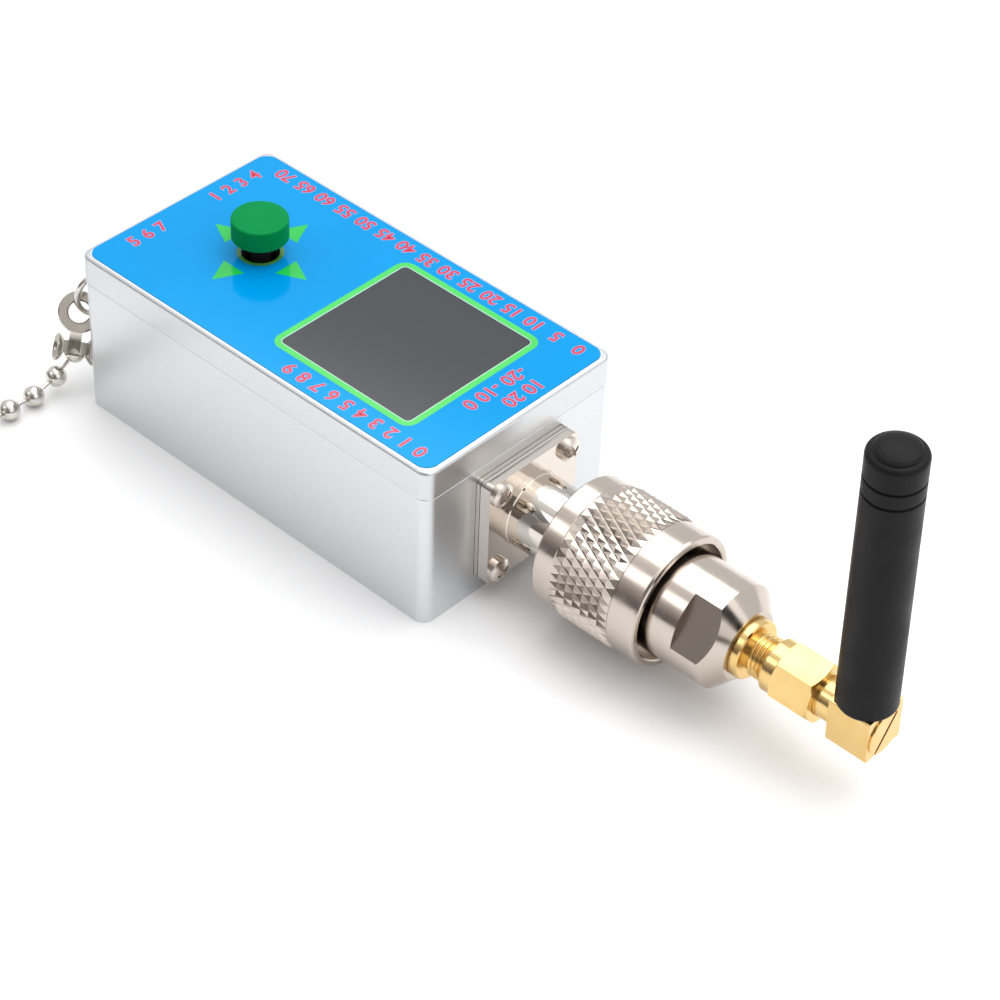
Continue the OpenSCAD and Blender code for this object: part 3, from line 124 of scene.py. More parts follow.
def joined(shape, loops):
    """Joins closed loops of corners, each to the next, by four-sided faces."""
    for a, b in zip(loops, loops[1:]):
        for k in range(len(a)):
            n = (k + 1) % len(a)
            shape.faces.new((a[k], a[n], b[n], b[k]))


def closed(shape, loops):
    """Joins loops of corners, and closes the first and the last with a face."""
    joined(shape, loops)
    shape.faces.new(loops[0])
    shape.faces.new(loops[-1])


def smooth_below(mesh, degrees):
    """Smooths a mesh, apart from the edges that are sharper than an angle."""
    mesh.shade_smooth()
    mesh.set_sharp_from_angle(angle=math.radians(degrees))


def piece_of(shape, name, smooth_angle=None):
    """Makes a piece of the part from a bmesh, smooth below an edge angle."""
    bmesh.ops.recalc_face_normals(shape, faces=shape.faces)
    mesh = bpy.data.meshes.new(name)
    shape.to_mesh(mesh)
    shape.free()
    piece = bpy.data.objects.new(name, mesh)
    bpy.context.collection.objects.link(piece)
    if smooth_angle is not None:
        smooth_below(mesh, smooth_angle)
    return piece


def finish(name, colour, metallic=0.0, roughness=0.5, **sockets):
    """A surface finish whose even values sit on the shader's own sockets."""
    made = bpy.data.materials.new(name)
    made.use_nodes = True
    shader = made.node_tree.nodes["Principled BSDF"]
    shader.inputs["Base Color"].default_value = (*colour, 1)
    shader.inputs["Metallic"].default_value = metallic
    shader.inputs["Roughness"].default_value = roughness
    for socket, value in sockets.items():
        shader.inputs[socket.replace("_", " ")].default_value = value
    return made


def noise_in(made, scale, detail=3.0, stretch=(1, 1, 1)):
    """Adds a noise in the part's own metres, and gives its value socket."""
    tree = made.node_tree
    place = tree.nodes.new("ShaderNodeTexCoord")
    sizing = tree.nodes.new("ShaderNodeMapping")
    sizing.inputs["Scale"].default_value = stretch
    noise = tree.nodes.new("ShaderNodeTexNoise")
    noise.inputs["Scale"].default_value = scale
    noise.inputs["Detail"].default_value = detail
    tree.links.new(place.outputs["Object"], sizing.inputs["Vector"])
    tree.links.new(sizing.outputs["Vector"], noise.inputs["Vector"])
    return noise.outputs["Fac"]


noise_floor = 0.3
noise_top = 0.7


def spread(made, value, low, high):
    """Maps a noise to the range from low to high."""
    ranging = made.node_tree.nodes.new("ShaderNodeMapRange")
    ranging.inputs["From Min"].default_value = noise_floor
    ranging.inputs["From Max"].default_value = noise_top
    ranging.inputs["To Min"].default_value = low
    ranging.inputs["To Max"].default_value = high
    made.node_tree.links.new(value, ranging.inputs["Value"])
    return ranging.outputs["Result"]


def uneven_gloss(made, value, low, high):
    """Lets the roughness wander between two values."""
    shader = made.node_tree.nodes["Principled BSDF"]
    made.node_tree.links.new(spread(made, value, low, high), shader.inputs["Roughness"])


def dented(made, value, depth, strength=1.0):
    """Turns a noise into fine relief of the given depth."""
    tree = made.node_tree
    bump = tree.nodes.new("ShaderNodeBump")
    bump.inputs["Strength"].default_value = strength
    bump.inputs["Distance"].default_value = depth
    tree.links.new(value, bump.inputs["Height"])
    tree.links.new(bump.outputs["Normal"], tree.nodes["Principled BSDF"].inputs["Normal"])


def mottled(made, value, light, dark):
    """Lets the colour wander between two tones."""
    tree = made.node_tree
    blend = tree.nodes.new("ShaderNodeMix")
    blend.data_type = "RGBA"
    blend.inputs["A"].default_value = (*light, 1)
    blend.inputs["B"].default_value = (*dark, 1)
    tree.links.new(spread(made, value, 0, 1), blend.inputs["Factor"])
    tree.links.new(blend.outputs["Result"], tree.nodes["Principled BSDF"].inputs["Base Color"])


def dress(made, *nodes):
    """Gives CAD nodes their finish."""
    for node in nodes:
        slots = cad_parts[node].data.materials
        slots.clear()
        slots.append(made)


chain_nickel = finish("chain_nickel", (0.70, 0.67, 0.62), metallic=1.0, roughness=0.16)
scuffs = noise_in(chain_nickel, 900)
uneven_gloss(chain_nickel, scuffs, 0.12, 0.24)
mottled(chain_nickel, scuffs, (0.74, 0.71, 0.66), (0.60, 0.57, 0.52))
ball_r = ball_d / 2
ball_turns = 28
ball_rows = 16
hole_angle = math.asin(ball_hole_r / ball_r)
hole_s = ball_r * math.cos(hole_angle)
lip_in_r = ball_hole_r - ball_lip
ball_outline = [(ball_lip - hole_s, lip_in_r)]
for row in range(ball_rows + 1):
    angle = hole_angle + (math.pi - 2 * hole_angle) * row / ball_rows
    ball_outline.append((-ball_r * math.cos(angle), ball_r * math.sin(angle)))
ball_outline.append((hole_s - ball_lip, lip_in_r))
shape = bmesh.new()
for n, place in enumerate(ball_places):
    before = link_lines[max(n - 1, 0)]
    after = link_lines[min(n, len(link_lines) - 1)]
    ball_line = (before + after).normalized()
    closed(shape, rings_of(shape, ball_outline, ball_turns, place, ball_line))
pin_turns = 10
pin_tip_r = 0.3 * pin_r
pin_from = hole_s - ball_hole_r
pin_to = ball_pitch - pin_from
pin_outline = [(pin_from, pin_tip_r), (pin_from, pin_r), (pin_to, pin_r), (pin_to, pin_tip_r)]
for place, line in zip(ball_places, link_lines):
    closed(shape, rings_of(shape, pin_outline, pin_turns, place, line))
ball_chain = piece_of(shape, "ball_chain", smooth_angle=50)
ball_chain.data.materials.append(chain_nickel)
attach(ball_chain, "case")
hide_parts("chain_balls", "chain_links")
chain_path = []
for place, line in zip(ball_places, link_lines):
    chain_path += [place, place + ball_pitch / 2 * line]
chain_path.append(ball_places[-1])
dress(chain_nickel, "chain_clasp", "split_ring", "lanyard_lug", "lug_screw")

# Chain tab: one stamped strip of nickel-plated steel. Its eye hangs in the split
# ring, and two dished cups are folded down at the sides of the first ball.
eye_at = Vector((39.85, 14.9, 11.5)) * mm
tab_turn = math.radians(228)
tab_lean = math.radians(45)
tab_swing = math.radians(-10)
tab_place = (Matrix.Translation(eye_at) @ Matrix.Rotation(tab_turn, 4, "Z")
             @ Matrix.Rotation(tab_lean, 4, "X") @ Matrix.Rotation(tab_swing, 4, "Z"))
eye_r = 3.15 * mm
eye_hole_r = 1.62 * mm
eye_t = 1.0 * mm
eye_round = 0.2 * mm
eye_turns = 56
eye_half = eye_t / 2
eye_flat = eye_half - eye_round
eye_outline = [
    (-eye_half, eye_hole_r + eye_round), (-eye_half, eye_r - eye_round),
    (-eye_flat, eye_r), (eye_flat, eye_r),
    (eye_half, eye_r - eye_round), (eye_half, eye_hole_r + eye_round),
    (eye_flat, eye_hole_r), (-eye_flat, eye_hole_r), (-eye_half, eye_hole_r + eye_round)]
shape = bmesh.new()
joined(shape, rings_of(shape, eye_outline, eye_turns, Vector(), Vector((0, 0, 1))))


def strap(shape, path, across, width, thick):
    """Sweeps a flat strip along a path; across is the direction of its width."""
    loops = []
    for n, place in enumerate(path):
        way = (path[min(n + 1, len(path) - 1)] - path[max(n - 1, 0)]).normalized()
        out = way.cross(across).normalized()
        loops.append([shape.verts.new(place + a * width / 2 * across + b * thick / 2 * out)
                      for a, b in ((1, 1), (1, -1), (-1, -1), (-1, 1))])
    closed(shape, loops)


strap_t = 0.45 * mm
neck_w = 1.8 * mm
neck_lap = 0.4 * mm
neck_out = 0.5 * mm
neck_rise = 0.25 * mm
neck_foot = 0.8 * mm
neck_tail = 1.2 * mm
neck_bow = 0.15 * mm
cup_drop = 5.3 * mm
neck_path = [Vector((0, neck_lap - eye_r, 0)), Vector((0, -eye_r - neck_out, neck_rise)),
             Vector((0, neck_foot - cup_drop, neck_bow)), Vector((0, -cup_drop, 0)),
             Vector((0, -cup_drop - neck_tail, -neck_bow))]
strap(shape, neck_path, Vector((1, 0, 0)), neck_w, strap_t)
cup_out = 2.35 * mm
cup_fall = 1.95 * mm
cup_fold = math.radians(75)
fold_w = 1.9 * mm
fold_clear = 0.9 * mm
fold_under = 0.02 * mm
fold_fall = cup_fall - fold_clear
fold_steps = 8
fold_path = []
for k in range(-fold_steps, fold_steps + 1):
    bend = k / fold_steps * math.pi / 2
    fold_path.append(Vector((
        cup_out * math.sin(bend), -cup_drop, -fold_fall * (1 - math.cos(bend)) - fold_under)))
strap(shape, fold_path, Vector((0, 1, 0)), fold_w, strap_t)
cup_mouth_r = 2.0 * mm
cup_turns = 40
cup_shares = [
    (-0.15, 0.01), (-0.15, 0.4), (-0.05, 0.65), (0.15, 0.85), (0.25, 0.925), (0.275, 1.0),
    (0.21, 1.05), (0.05, 0.99), (-0.175, 0.775), (-0.275, 0.45), (-0.29, 0.01)]
cup_outline = [(along * cup_mouth_r, out * cup_mouth_r) for along, out in cup_shares]
for hand in (-1, 1):
    cup_at = Vector((hand * cup_out, -cup_drop, -cup_fall))
    facing = Vector((hand * math.sin(cup_fold), 0, math.cos(cup_fold)))
    closed(shape, rings_of(shape, cup_outline, cup_turns, cup_at, facing))
shape.transform(tab_place)
tab_strip = piece_of(shape, "tab_strip", smooth_angle=40)
tab_nickel = finish("tab_nickel", (0.46, 0.42, 0.37), metallic=1.0, roughness=0.2)
uneven_gloss(tab_nickel, noise_in(tab_nickel, 900), 0.14, 0.28)
tab_strip.data.materials.append(tab_nickel)
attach(tab_strip, "case")
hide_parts("chain_tab")

# Case: a milled aluminium tub and lid, bead blasted and clear anodised, so the
# faces have fine dents. The four upright corners are round, and the edges of the
# two parts are broken along the seam, with a thin black ring in the seam as
# painted shade of the gap between them.
case_metal = finish("case_metal", (0.66, 0.675, 0.69), metallic=1.0, roughness=0.36)
blast_depth = 0.012 * mm
dented(case_metal, noise_in(case_metal, 5200, detail=4.0), blast_depth, strength=0.45)
mottled(case_metal, noise_in(case_metal, 2600, detail=5.0),
        (0.685, 0.705, 0.725), (0.65, 0.67, 0.69))
lid_metal = finish("lid_metal", (0.70, 0.71, 0.72), metallic=1.0, roughness=0.34)
lid_blast_depth = 0.01 * mm
dented(lid_metal, noise_in(lid_metal, 5200, detail=4.0), lid_blast_depth, strength=0.45)
mottled(lid_metal, noise_in(lid_metal, 2600, detail=5.0),
        (0.66, 0.675, 0.69), (0.625, 0.64, 0.655))
screw_black = finish("screw_black", (0.05, 0.05, 0.055), metallic=1.0, roughness=0.35)
uneven_gloss(screw_black, noise_in(screw_black, 1500), 0.28, 0.45)
# Near-black for thin sheets that are painted shade, in the seam and at the flange joints.
gap_shade_black = finish("gap_shade_black", (0.012, 0.012, 0.013), roughness=0.7)
mottled(gap_shade_black, noise_in(gap_shade_black, 900), (0.016, 0.016, 0.017), (0.01, 0.01, 0.011))
dress(screw_black, "lid_screws")
case_corner_r = 1.8 * mm
rim_r = 0.6 * mm
cutter_spare = 1 * mm
seam_edge = 0.13 * mm
weld = 0.001 * mm
flat_angle = math.radians(0.5)
tub_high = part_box("case_tub")[1]
lid_low, lid_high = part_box("case_lid")
seam_z = tub_high[2]


def copy_of(node, name):
    """A welded copy of a CAD node's mesh, with whole flat faces."""
    shape = bmesh.new()
    shape.from_mesh(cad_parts[node].data)
    bmesh.ops.remove_doubles(shape, verts=shape.verts, dist=weld)
    bmesh.ops.dissolve_limit(
        shape, angle_limit=flat_angle, verts=shape.verts, edges=shape.edges)
    piece = piece_of(shape, name)
    if "custom_normal" in piece.data.attributes:
        piece.data.attributes.remove(piece.data.attributes["custom_normal"])
    piece.data.materials.clear()
    return piece


def cut_away(piece, cutter):
    """Cuts one piece out of another."""
    cutting = piece.modifiers.new("cut", "BOOLEAN")
    cutting.object = cutter
    cutting.operation = "DIFFERENCE"
    cutting.solver = "EXACT"
    bpy.context.view_layer.update()
    made = bpy.data.meshes.new_from_object(
        piece.evaluated_get(bpy.context.evaluated_depsgraph_get()))
    piece.modifiers.clear()
    piece.data = made
    bpy.data.objects.remove(cutter)


def corner_cutter(half_x, half_y, rows):
    """Four prisms that round off a box's upright corners; a row is (height, inset)."""
    shape = bmesh.new()
    steps = 12
    far = case_corner_r + cutter_spare
    for sx, sy in ((1, 1), (-1, 1), (-1, -1), (1, -1)):
        loops = []
        for z, inset in rows:
            reach = case_corner_r - inset
            turns = [math.pi / 2 * k / steps for k in range(steps + 1)]
            points = [(reach * math.cos(t), reach * math.sin(t)) for t in turns]
            points += [(0, far), (far, far), (far, 0)]
            loops.append([shape.verts.new((sx * (half_x - case_corner_r + x),
                                           sy * (half_y - case_corner_r + y), z))
                          for x, y in points])
        closed(shape, loops)
    return piece_of(shape, "corner_cutter")


seam_reach = 0.01 * mm
wall_reach = 0.04 * mm


def break_seam(piece, half_x, half_y):
    """Bevels the outer edge of a case part along the seam."""
    shape = bmesh.new()
    shape.from_mesh(piece.data)
    bmesh.ops.remove_doubles(shape, verts=shape.verts, dist=weld)
    outer = []
    for edge in shape.edges:
        centre = (edge.verts[0].co + edge.verts[1].co) / 2
        level = max(abs(v.co.z - seam_z) for v in edge.verts) < seam_reach
        x = abs(centre.x) - (half_x - case_corner_r)
        y = abs(centre.y) - (half_y - case_corner_r)
        inside = math.hypot(max(x, 0), max(y, 0)) + min(max(x, y), 0) - case_corner_r
        if level and abs(inside) < wall_reach:
            outer.append(edge)
    bmesh.ops.bevel(shape, geom=outer, offset=seam_edge, segments=1, affect="EDGES")
    shape.to_mesh(piece.data)
    shape.free()
    smooth_below(piece.data, degrees=32)


rim_rows = [(lid_low[2] - cutter_spare, 0)]
rim_steps = 5
for k in range(rim_steps + 1):
    bow = math.pi / 2 * k / rim_steps
    rim_rows.append((lid_high[2] - rim_r + rim_r * math.sin(bow), rim_r * (1 - math.cos(bow))))
rim_rows.append((lid_high[2] + cutter_spare, rim_r))
tub_shell = copy_of("case_tub", "tub_shell")
cut_away(tub_shell, corner_cutter(
    tub_high[0], tub_high[1], [(-cutter_spare, 0), (seam_z + cutter_spare, 0)]))
break_seam(tub_shell, tub_high[0], tub_high[1])
tub_shell.data.materials.append(case_metal)
lid_shell = copy_of("case_lid", "lid_shell")
cut_away(lid_shell, corner_cutter(lid_high[0], lid_high[1], rim_rows))
break_seam(lid_shell, lid_high[0], lid_high[1])
lid_shell.data.materials.append(lid_metal)


def round_rect(centre, length, width, corner):
    """Outline of a rectangle with round corners."""
    points = []
    steps = 10
    for quarter in range(4):
        for k in range(steps + 1):
            angle = math.pi / 2 * (quarter + k / steps)
            sx = 1 if quarter in (0, 3) else -1
            sy = 1 if quarter in (0, 1) else -1
            points.append((centre.x + sx * (length / 2 - corner) + corner * math.cos(angle),
                           centre.y + sy * (width / 2 - corner) + corner * math.sin(angle)))
    return points


def flat_sheet(name, outlines, low, high, made):
    """A flat sheet between two heights; an outline inside another is a hole."""
    drawn = bpy.data.curves.new(name, "CURVE")
    drawn.dimensions = "2D"
    drawn.fill_mode = "BOTH"
    drawn.extrude = (high - low) / 2
    for outline in outlines:
        spline = drawn.splines.new("POLY")
        spline.points.add(len(outline) - 1)
        spline.use_cyclic_u = True
        for point, (x, y) in zip(spline.points, outline):
            point.co = (x, y, 0, 1)
    pattern = bpy.data.objects.new(name + "_outline", drawn)
    bpy.context.collection.objects.link(pattern)
    bpy.context.view_layer.update()
    mesh = bpy.data.meshes.new_from_object(pattern)
    bpy.data.objects.remove(pattern)
    mesh.transform(Matrix.Translation((0, 0, (low + high) / 2)))
    shape = bmesh.new()
    shape.from_mesh(mesh)
    bmesh.ops.remove_doubles(shape, verts=shape.verts, dist=weld)
    bpy.data.meshes.remove(mesh)
    piece = piece_of(shape, name)
    piece.data.materials.clear()
    piece.data.materials.append(made)
    return piece


plate_low, plate_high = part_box("label_plate")
plate_l = plate_high[0] - plate_low[0]
plate_w = plate_high[1] - plate_low[1]
plate_corner = 2.0 * mm
recess_corner = 1.1 * mm
recess_over = 0.1 * mm
fill_gap = 0.05 * mm
# Size of the thin black ring in the seam, which is painted shade of the gap.
seam_shade_h = 0.12 * mm
seam_shade_sunk = 0.12 * mm
seam_shade_in = 8 * seam_shade_sunk
seam_shade_in_corner = case_corner_r - 4 * seam_shade_sunk
middle = Vector((0, 0, 0))
corner_fills = flat_sheet(
    "corner_fills",
    [round_rect(middle, plate_l + recess_over, plate_w + recess_over, recess_corner),
     round_rect(middle, plate_l + fill_gap, plate_w + fill_gap, plate_corner)],
    plate_low[2] - recess_over, lid_high[2], lid_metal)
# A thin black ring set into the seam: painted shade of the gap between lid and tub.
seam_shade_ring = flat_sheet(
    "seam_shade_ring",
    [round_rect(middle, 2 * (tub_high[0] - seam_shade_sunk), 2 * (tub_high[1] - seam_shade_sunk),
                case_corner_r - seam_shade_sunk),
     round_rect(middle, 2 * (tub_high[0] - seam_shade_in), 2 * (tub_high[1] - seam_shade_in),
                seam_shade_in_corner)],
    seam_z - seam_shade_h / 2, seam_z + seam_shade_h / 2, gap_shade_black)
for case_part, part_slot in ((tub_shell, "case"), (lid_shell, "lid"), (corner_fills, "lid"),
                             (seam_shade_ring, "lid")):
    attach(case_part, "case")
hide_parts("case_tub")
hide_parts("case_lid")

# Label plate: clear acrylic printed on its back in bright blue, so the colour
# lies under a gloss surface. The plate is glued into the recess of the lid.
plate_blue = finish("plate_blue", (0.0, 0.34, 0.80), roughness=0.1,
                    Specular_Tint=(0.0, 0.8, 0.75, 1), IOR=1.47)
plate_wave_depth = 0.02 * mm
dented(plate_blue, noise_in(plate_blue, 60, detail=2.0), plate_wave_depth, strength=0.15)
mottled(plate_blue, noise_in(plate_blue, 90, detail=2.0), (0.0, 0.265, 0.645), (0.0, 0.25, 0.61))
window_low, window_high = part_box("display_window")
key_low, key_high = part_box("key_cap")
window_at = Vector(((window_low[0] + window_high[0]) / 2, 0, 0))
key_at = Vector(((key_low[0] + key_high[0]) / 2, 0, 0))
window_side = window_high[0] - window_low[0]
window_corner = 0.8 * mm
pane_gap = 0.05 * mm
pane_side = window_side + 2 * pane_gap
key_hole_r = 2.8 * mm


def circle(centre, radius, steps=64):
    """Outline of a circle."""
    return [(centre.x + radius * math.cos(2 * math.pi * k / steps),
             centre.y + radius * math.sin(2 * math.pi * k / steps)) for k in range(steps)]


plate_sheet = flat_sheet(
    "plate_sheet",
    [round_rect(middle, plate_l, plate_w, plate_corner),
     round_rect(window_at, pane_side, pane_side, window_corner),
     circle(key_at, key_hole_r)],
    plate_low[2], plate_high[2], plate_blue)
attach(plate_sheet, "case")
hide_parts("label_plate")

# Display window: a pane of smoked acrylic, glued flush into the plate in front of
# the display. The display is off, so the pane is plain and dark.
window_smoke = finish("window_smoke", (0.034, 0.038, 0.043), roughness=0.12)
uneven_gloss(window_smoke, noise_in(window_smoke, 2500), 0.11, 0.13)
dress(window_smoke, "display_window")

# Printing: flat colours on the plate. A light green frame lines the window, four
# arrowheads and a ring mark the key, and plain red numbers with a pale edge
# stand beside the sockets, the window, the input and along the far side. A pale
# ring between the frame and the pane is a painted highlight on the window's cut edge.
print_rise = 0.012 * mm
print_sunk = 0.03 * mm
print_top = plate_high[2] + print_rise
print_low = print_top - print_sunk
frame_green = finish("frame_green", (0.06, 0.56, 0.10), roughness=0.12)
mottled(frame_green, noise_in(frame_green, 300), (0.065, 0.58, 0.11), (0.05, 0.53, 0.09))
frame_w = 1.15 * mm
frame_side = window_side + 2 * frame_w
# A pale ring round the pane: a painted highlight on the cut edge of the window hole.
pane_edge_highlight = finish("pane_edge_highlight", (0.42, 0.62, 0.50), roughness=0.15)
mottled(pane_edge_highlight, noise_in(pane_edge_highlight, 300), (0.45, 0.65, 0.53), (0.39, 0.58, 0.46))
edge_highlight_w = 0.16 * mm
highlight_side = window_side + 2 * (pane_gap + edge_highlight_w)
highlight_outline = round_rect(window_at, highlight_side, highlight_side, window_corner + edge_highlight_w)
window_frame = flat_sheet(
    "window_frame",
    [round_rect(window_at, frame_side, frame_side, window_corner + frame_w), highlight_outline],
    print_low, print_top, frame_green)
window_edge_highlight = flat_sheet(
    "window_edge_highlight",
    [highlight_outline, round_rect(window_at, pane_side, pane_side, window_corner)],
    print_low, print_top - print_rise / 2, pane_edge_highlight)
ring_olive = finish("ring_olive", (0.06, 0.26, 0.05), roughness=0.12)
mottled(ring_olive, noise_in(ring_olive, 300), (0.07, 0.28, 0.055), (0.05, 0.24, 0.045))
key_ring_r = 3.4 * mm
key_ring_print = flat_sheet(
    "key_ring_print", [circle(key_at, key_ring_r), circle(key_at, key_hole_r)],
    print_low, print_top, ring_olive)
arrow_green = finish("arrow_green", (0.015, 0.48, 0.07), roughness=0.12)
mottled(arrow_green, noise_in(arrow_green, 300), (0.02, 0.50, 0.08), (0.01, 0.46, 0.06))
arrow_tip = 9.45 * mm
arrow_base = 5.15 * mm
arrow_half = 2.1 * mm
arrow_outlines = []
for quarter in range(4):
    spin = Matrix.Rotation(math.pi / 2 * quarter, 3, "Z")
    corners = [Vector((arrow_tip, 0, 0)), Vector((arrow_base, arrow_half, 0)),
               Vector((arrow_base, -arrow_half, 0))]
    arrow_outlines.append([tuple((key_at + spin @ corner).xy) for corner in corners])
key_arrows = flat_sheet("key_arrows", arrow_outlines, print_low, print_top, arrow_green)
print_red = finish("print_red", (0.56, 0.03, 0.075), roughness=0.12)
mottled(print_red, noise_in(print_red, 300), (0.59, 0.035, 0.085), (0.53, 0.025, 0.065))
print_pale = finish("print_pale", (0.36, 0.38, 0.62), roughness=0.12)
mottled(print_pale, noise_in(print_pale, 300), (0.39, 0.41, 0.65), (0.33, 0.35, 0.58))
number_h = 3.1 * mm
curve_steps = 3


def number_print(name, marks, edge, top, made):
    """Prints plain numbers: each mark is its text, its place and its turn."""
    shape = bmesh.new()
    for n, (text, x, y, degrees) in enumerate(marks):
        line = bpy.data.curves.new(f"{name}_{n}", "FONT")
        line.body = text
        line.size = number_h
        line.align_x = "CENTER"
        line.align_y = "CENTER"
        line.offset = edge
        line.resolution_u = curve_steps
        line.extrude = print_sunk / 2
        writing = bpy.data.objects.new(line.name, line)
        bpy.context.collection.objects.link(writing)
        bpy.context.view_layer.update()
        mesh = bpy.data.meshes.new_from_object(writing)
        bpy.data.objects.remove(writing)
        mesh.transform(Matrix.Translation((x, y, top - print_sunk / 2))
                       @ Matrix.Rotation(math.radians(degrees), 4, "Z"))
        shape.from_mesh(mesh)
        bpy.data.meshes.remove(mesh)
    piece = piece_of(shape, name)
    piece.data.materials.append(made)
    return piece


scale_marks = 15
scale_unit = 5
scale_lead = 3.2 * mm
scale_inset = 2.1 * mm
scale_step = 4.15 * mm
scale_x = plate_low[0] + scale_lead
scale_y = plate_low[1] + scale_inset
marks = [(str(scale_unit * n), scale_x + n * scale_step, scale_y, 0) for n in range(scale_marks)]
row_marks = 10
row_lead = 3.4 * mm
row_inset = 2.3 * mm
row_step = 2.75 * mm
row_x = plate_low[0] + row_lead
row_y = plate_high[1] - row_inset
marks += [(str(n), row_x + n * row_step, row_y, 0) for n in range(row_marks)]
inner_inset = 5.6 * mm
inner_y = -1.2 * mm
outer_inset = 2.3 * mm
outer_y = -3.2 * mm
marks += [("-20 -10 0", plate_low[0] + inner_inset, inner_y, 90),
          ("10 20", plate_low[0] + outer_inset, outer_y, 90)]
pin_inset = 2.9 * mm
pin_step = 2.6 * mm
serial_y = -4.6 * mm
usb_y = 11.2 * mm
for first, last, first_y in ((1, 4, serial_y), (5, 7, usb_y)):
    for pin in range(first, last + 1):
        pin_y = first_y - (pin - first) * pin_step
        marks.append((str(pin), plate_high[0] - pin_inset, pin_y, -90))
number_weight = 0.06 * mm
number_edge = 0.14 * mm
number_edges = number_print(
    "number_edges", marks, number_edge, print_top - print_rise / 2, print_pale)
numbers = number_print("numbers", marks, number_weight, print_top, print_red)
for print_piece in (window_frame, window_edge_highlight, key_ring_print, key_arrows, numbers,
                    number_edges):
    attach(print_piece, "case")

# Display and its board: a glass panel in a black frame, held down on the lid by
# a foam ring and a green board on four small screws.
display_black = finish("display_black", (0.012, 0.012, 0.015), roughness=0.18)
uneven_gloss(display_black, noise_in(display_black, 300), 0.14, 0.24)
foam_grey = finish("foam_grey", (0.55, 0.53, 0.48), roughness=0.95)
foam_pore_depth = 0.1 * mm
dented(foam_grey, noise_in(foam_grey, 3500, detail=2.0), foam_pore_depth)
mottled(foam_grey, noise_in(foam_grey, 2500), (0.62, 0.60, 0.55), (0.42, 0.40, 0.36))
board_green = finish("board_green", (0.01, 0.13, 0.05), roughness=0.3)
track_width_share = 0.03
track_shade_share = 0.8


def tracked(made, scale, light, dark):
    """Shows copper tracks through the mask of a circuit board."""
    tree = made.node_tree
    place = tree.nodes.new("ShaderNodeTexCoord")
    brick = tree.nodes.new("ShaderNodeTexBrick")
    brick.inputs["Scale"].default_value = scale
    brick.inputs["Mortar Size"].default_value = track_width_share
    brick.inputs["Color1"].default_value = (*dark, 1)
    brick.inputs["Color2"].default_value = (*[track_shade_share * c for c in dark], 1)
    brick.inputs["Mortar"].default_value = (*light, 1)
    tree.links.new(place.outputs["Object"], brick.inputs["Vector"])
    tree.links.new(brick.outputs["Color"], tree.nodes["Principled BSDF"].inputs["Base Color"])


tracked(board_green, 300, (0.03, 0.24, 0.09), (0.01, 0.13, 0.05))
tinned = finish("tinned", (0.66, 0.65, 0.62), metallic=1.0, roughness=0.3)
uneven_gloss(tinned, noise_in(tinned, 700), 0.22, 0.4)
mottled(tinned, noise_in(tinned, 500), (0.70, 0.69, 0.66), (0.56, 0.55, 0.53))
dress(display_black, "display_module")
dress(foam_grey, "display_foam")
dress(board_green, "display_board", "rf_board")
dress(tinned, "display_board_screws", "rf_board_screws")

# Parts on the boards: a tinned screening can, black chips and header, a tinned
# USB-C shell and a white four-pin socket, all soldered down.
chip_black = finish("chip_black", (0.02, 0.02, 0.022), roughness=0.55)
chip_grain_depth = 0.01 * mm
dented(chip_black, noise_in(chip_black, 6000, detail=2.0), chip_grain_depth)
mottled(chip_black, noise_in(chip_black, 1200), (0.028, 0.028, 0.03), (0.015, 0.015, 0.017))
socket_white = finish("socket_white", (0.80, 0.77, 0.70), roughness=0.4)
mottled(socket_white, noise_in(socket_white, 500), (0.83, 0.80, 0.73), (0.76, 0.73, 0.66))
dress(tinned, "screening_can", "usb_c_socket", "switch_cover")
dress(chip_black, "board_chips", "board_header")
dress(socket_white, "uart_socket")

# Five-way key: a moulded base under a tinned cover, a steel dome, two crossed
# tilting rings and a black stem with a pressed-on green cap.
spring_steel = finish("spring_steel", (0.60, 0.57, 0.52), metallic=1.0, roughness=0.25)
uneven_gloss(spring_steel, noise_in(spring_steel, 900), 0.18, 0.34)
key_black = finish("key_black", (0.012, 0.012, 0.013), roughness=0.35)
uneven_gloss(key_black, noise_in(key_black, 1500), 0.28, 0.45)
cap_green = finish("cap_green", (0.0, 0.21, 0.05), roughness=0.5, Specular_IOR_Level=0.05)
cap_grain_depth = 0.01 * mm
dented(cap_green, noise_in(cap_green, 2500), cap_grain_depth, strength=0.4)
mottled(cap_green, noise_in(cap_green, 250), (0.0, 0.235, 0.06), (0.0, 0.215, 0.05))
dress(chip_black, "switch_base")
dress(spring_steel, "switch_dome")
dress(key_black, "key_rocker", "key_yoke", "key_stem")
round_cap_r = (key_high[0] - key_low[0]) / 2
skirt_drop = 0.4 * mm
skirt_in_r = 3.2 * mm
skirt_cut = 0.1 * mm
skirt_z = key_low[2] - skirt_drop
stem_r = 2.01 * mm
stem_seat = 1.9 * mm
seat_z = key_low[2] + stem_seat
cap_edge_r = 0.25 * mm
cap_edge_steps = 6
cap_turns = 72
cap_outline = [
    (seat_z, weld), (seat_z, stem_r), (key_low[2], stem_r), (key_low[2], skirt_in_r),
    (skirt_z, skirt_in_r + skirt_cut), (skirt_z, round_cap_r - skirt_cut),
    (skirt_z + skirt_cut, round_cap_r)]
for k in range(cap_edge_steps + 1):
    bow = math.pi / 2 * k / cap_edge_steps
    cap_outline.append((key_high[2] - cap_edge_r * (1 - math.sin(bow)),
                        round_cap_r - cap_edge_r * (1 - math.cos(bow))))
cap_outline.append((key_high[2], weld))
shape = bmesh.new()
closed(shape, rings_of(shape, cap_outline, cap_turns, key_at, Vector((0, 0, 1))))
round_cap = piece_of(shape, "round_cap", smooth_angle=35)
round_cap.data.materials.append(cap_green)
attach(round_cap, "key")
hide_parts("key_cap")

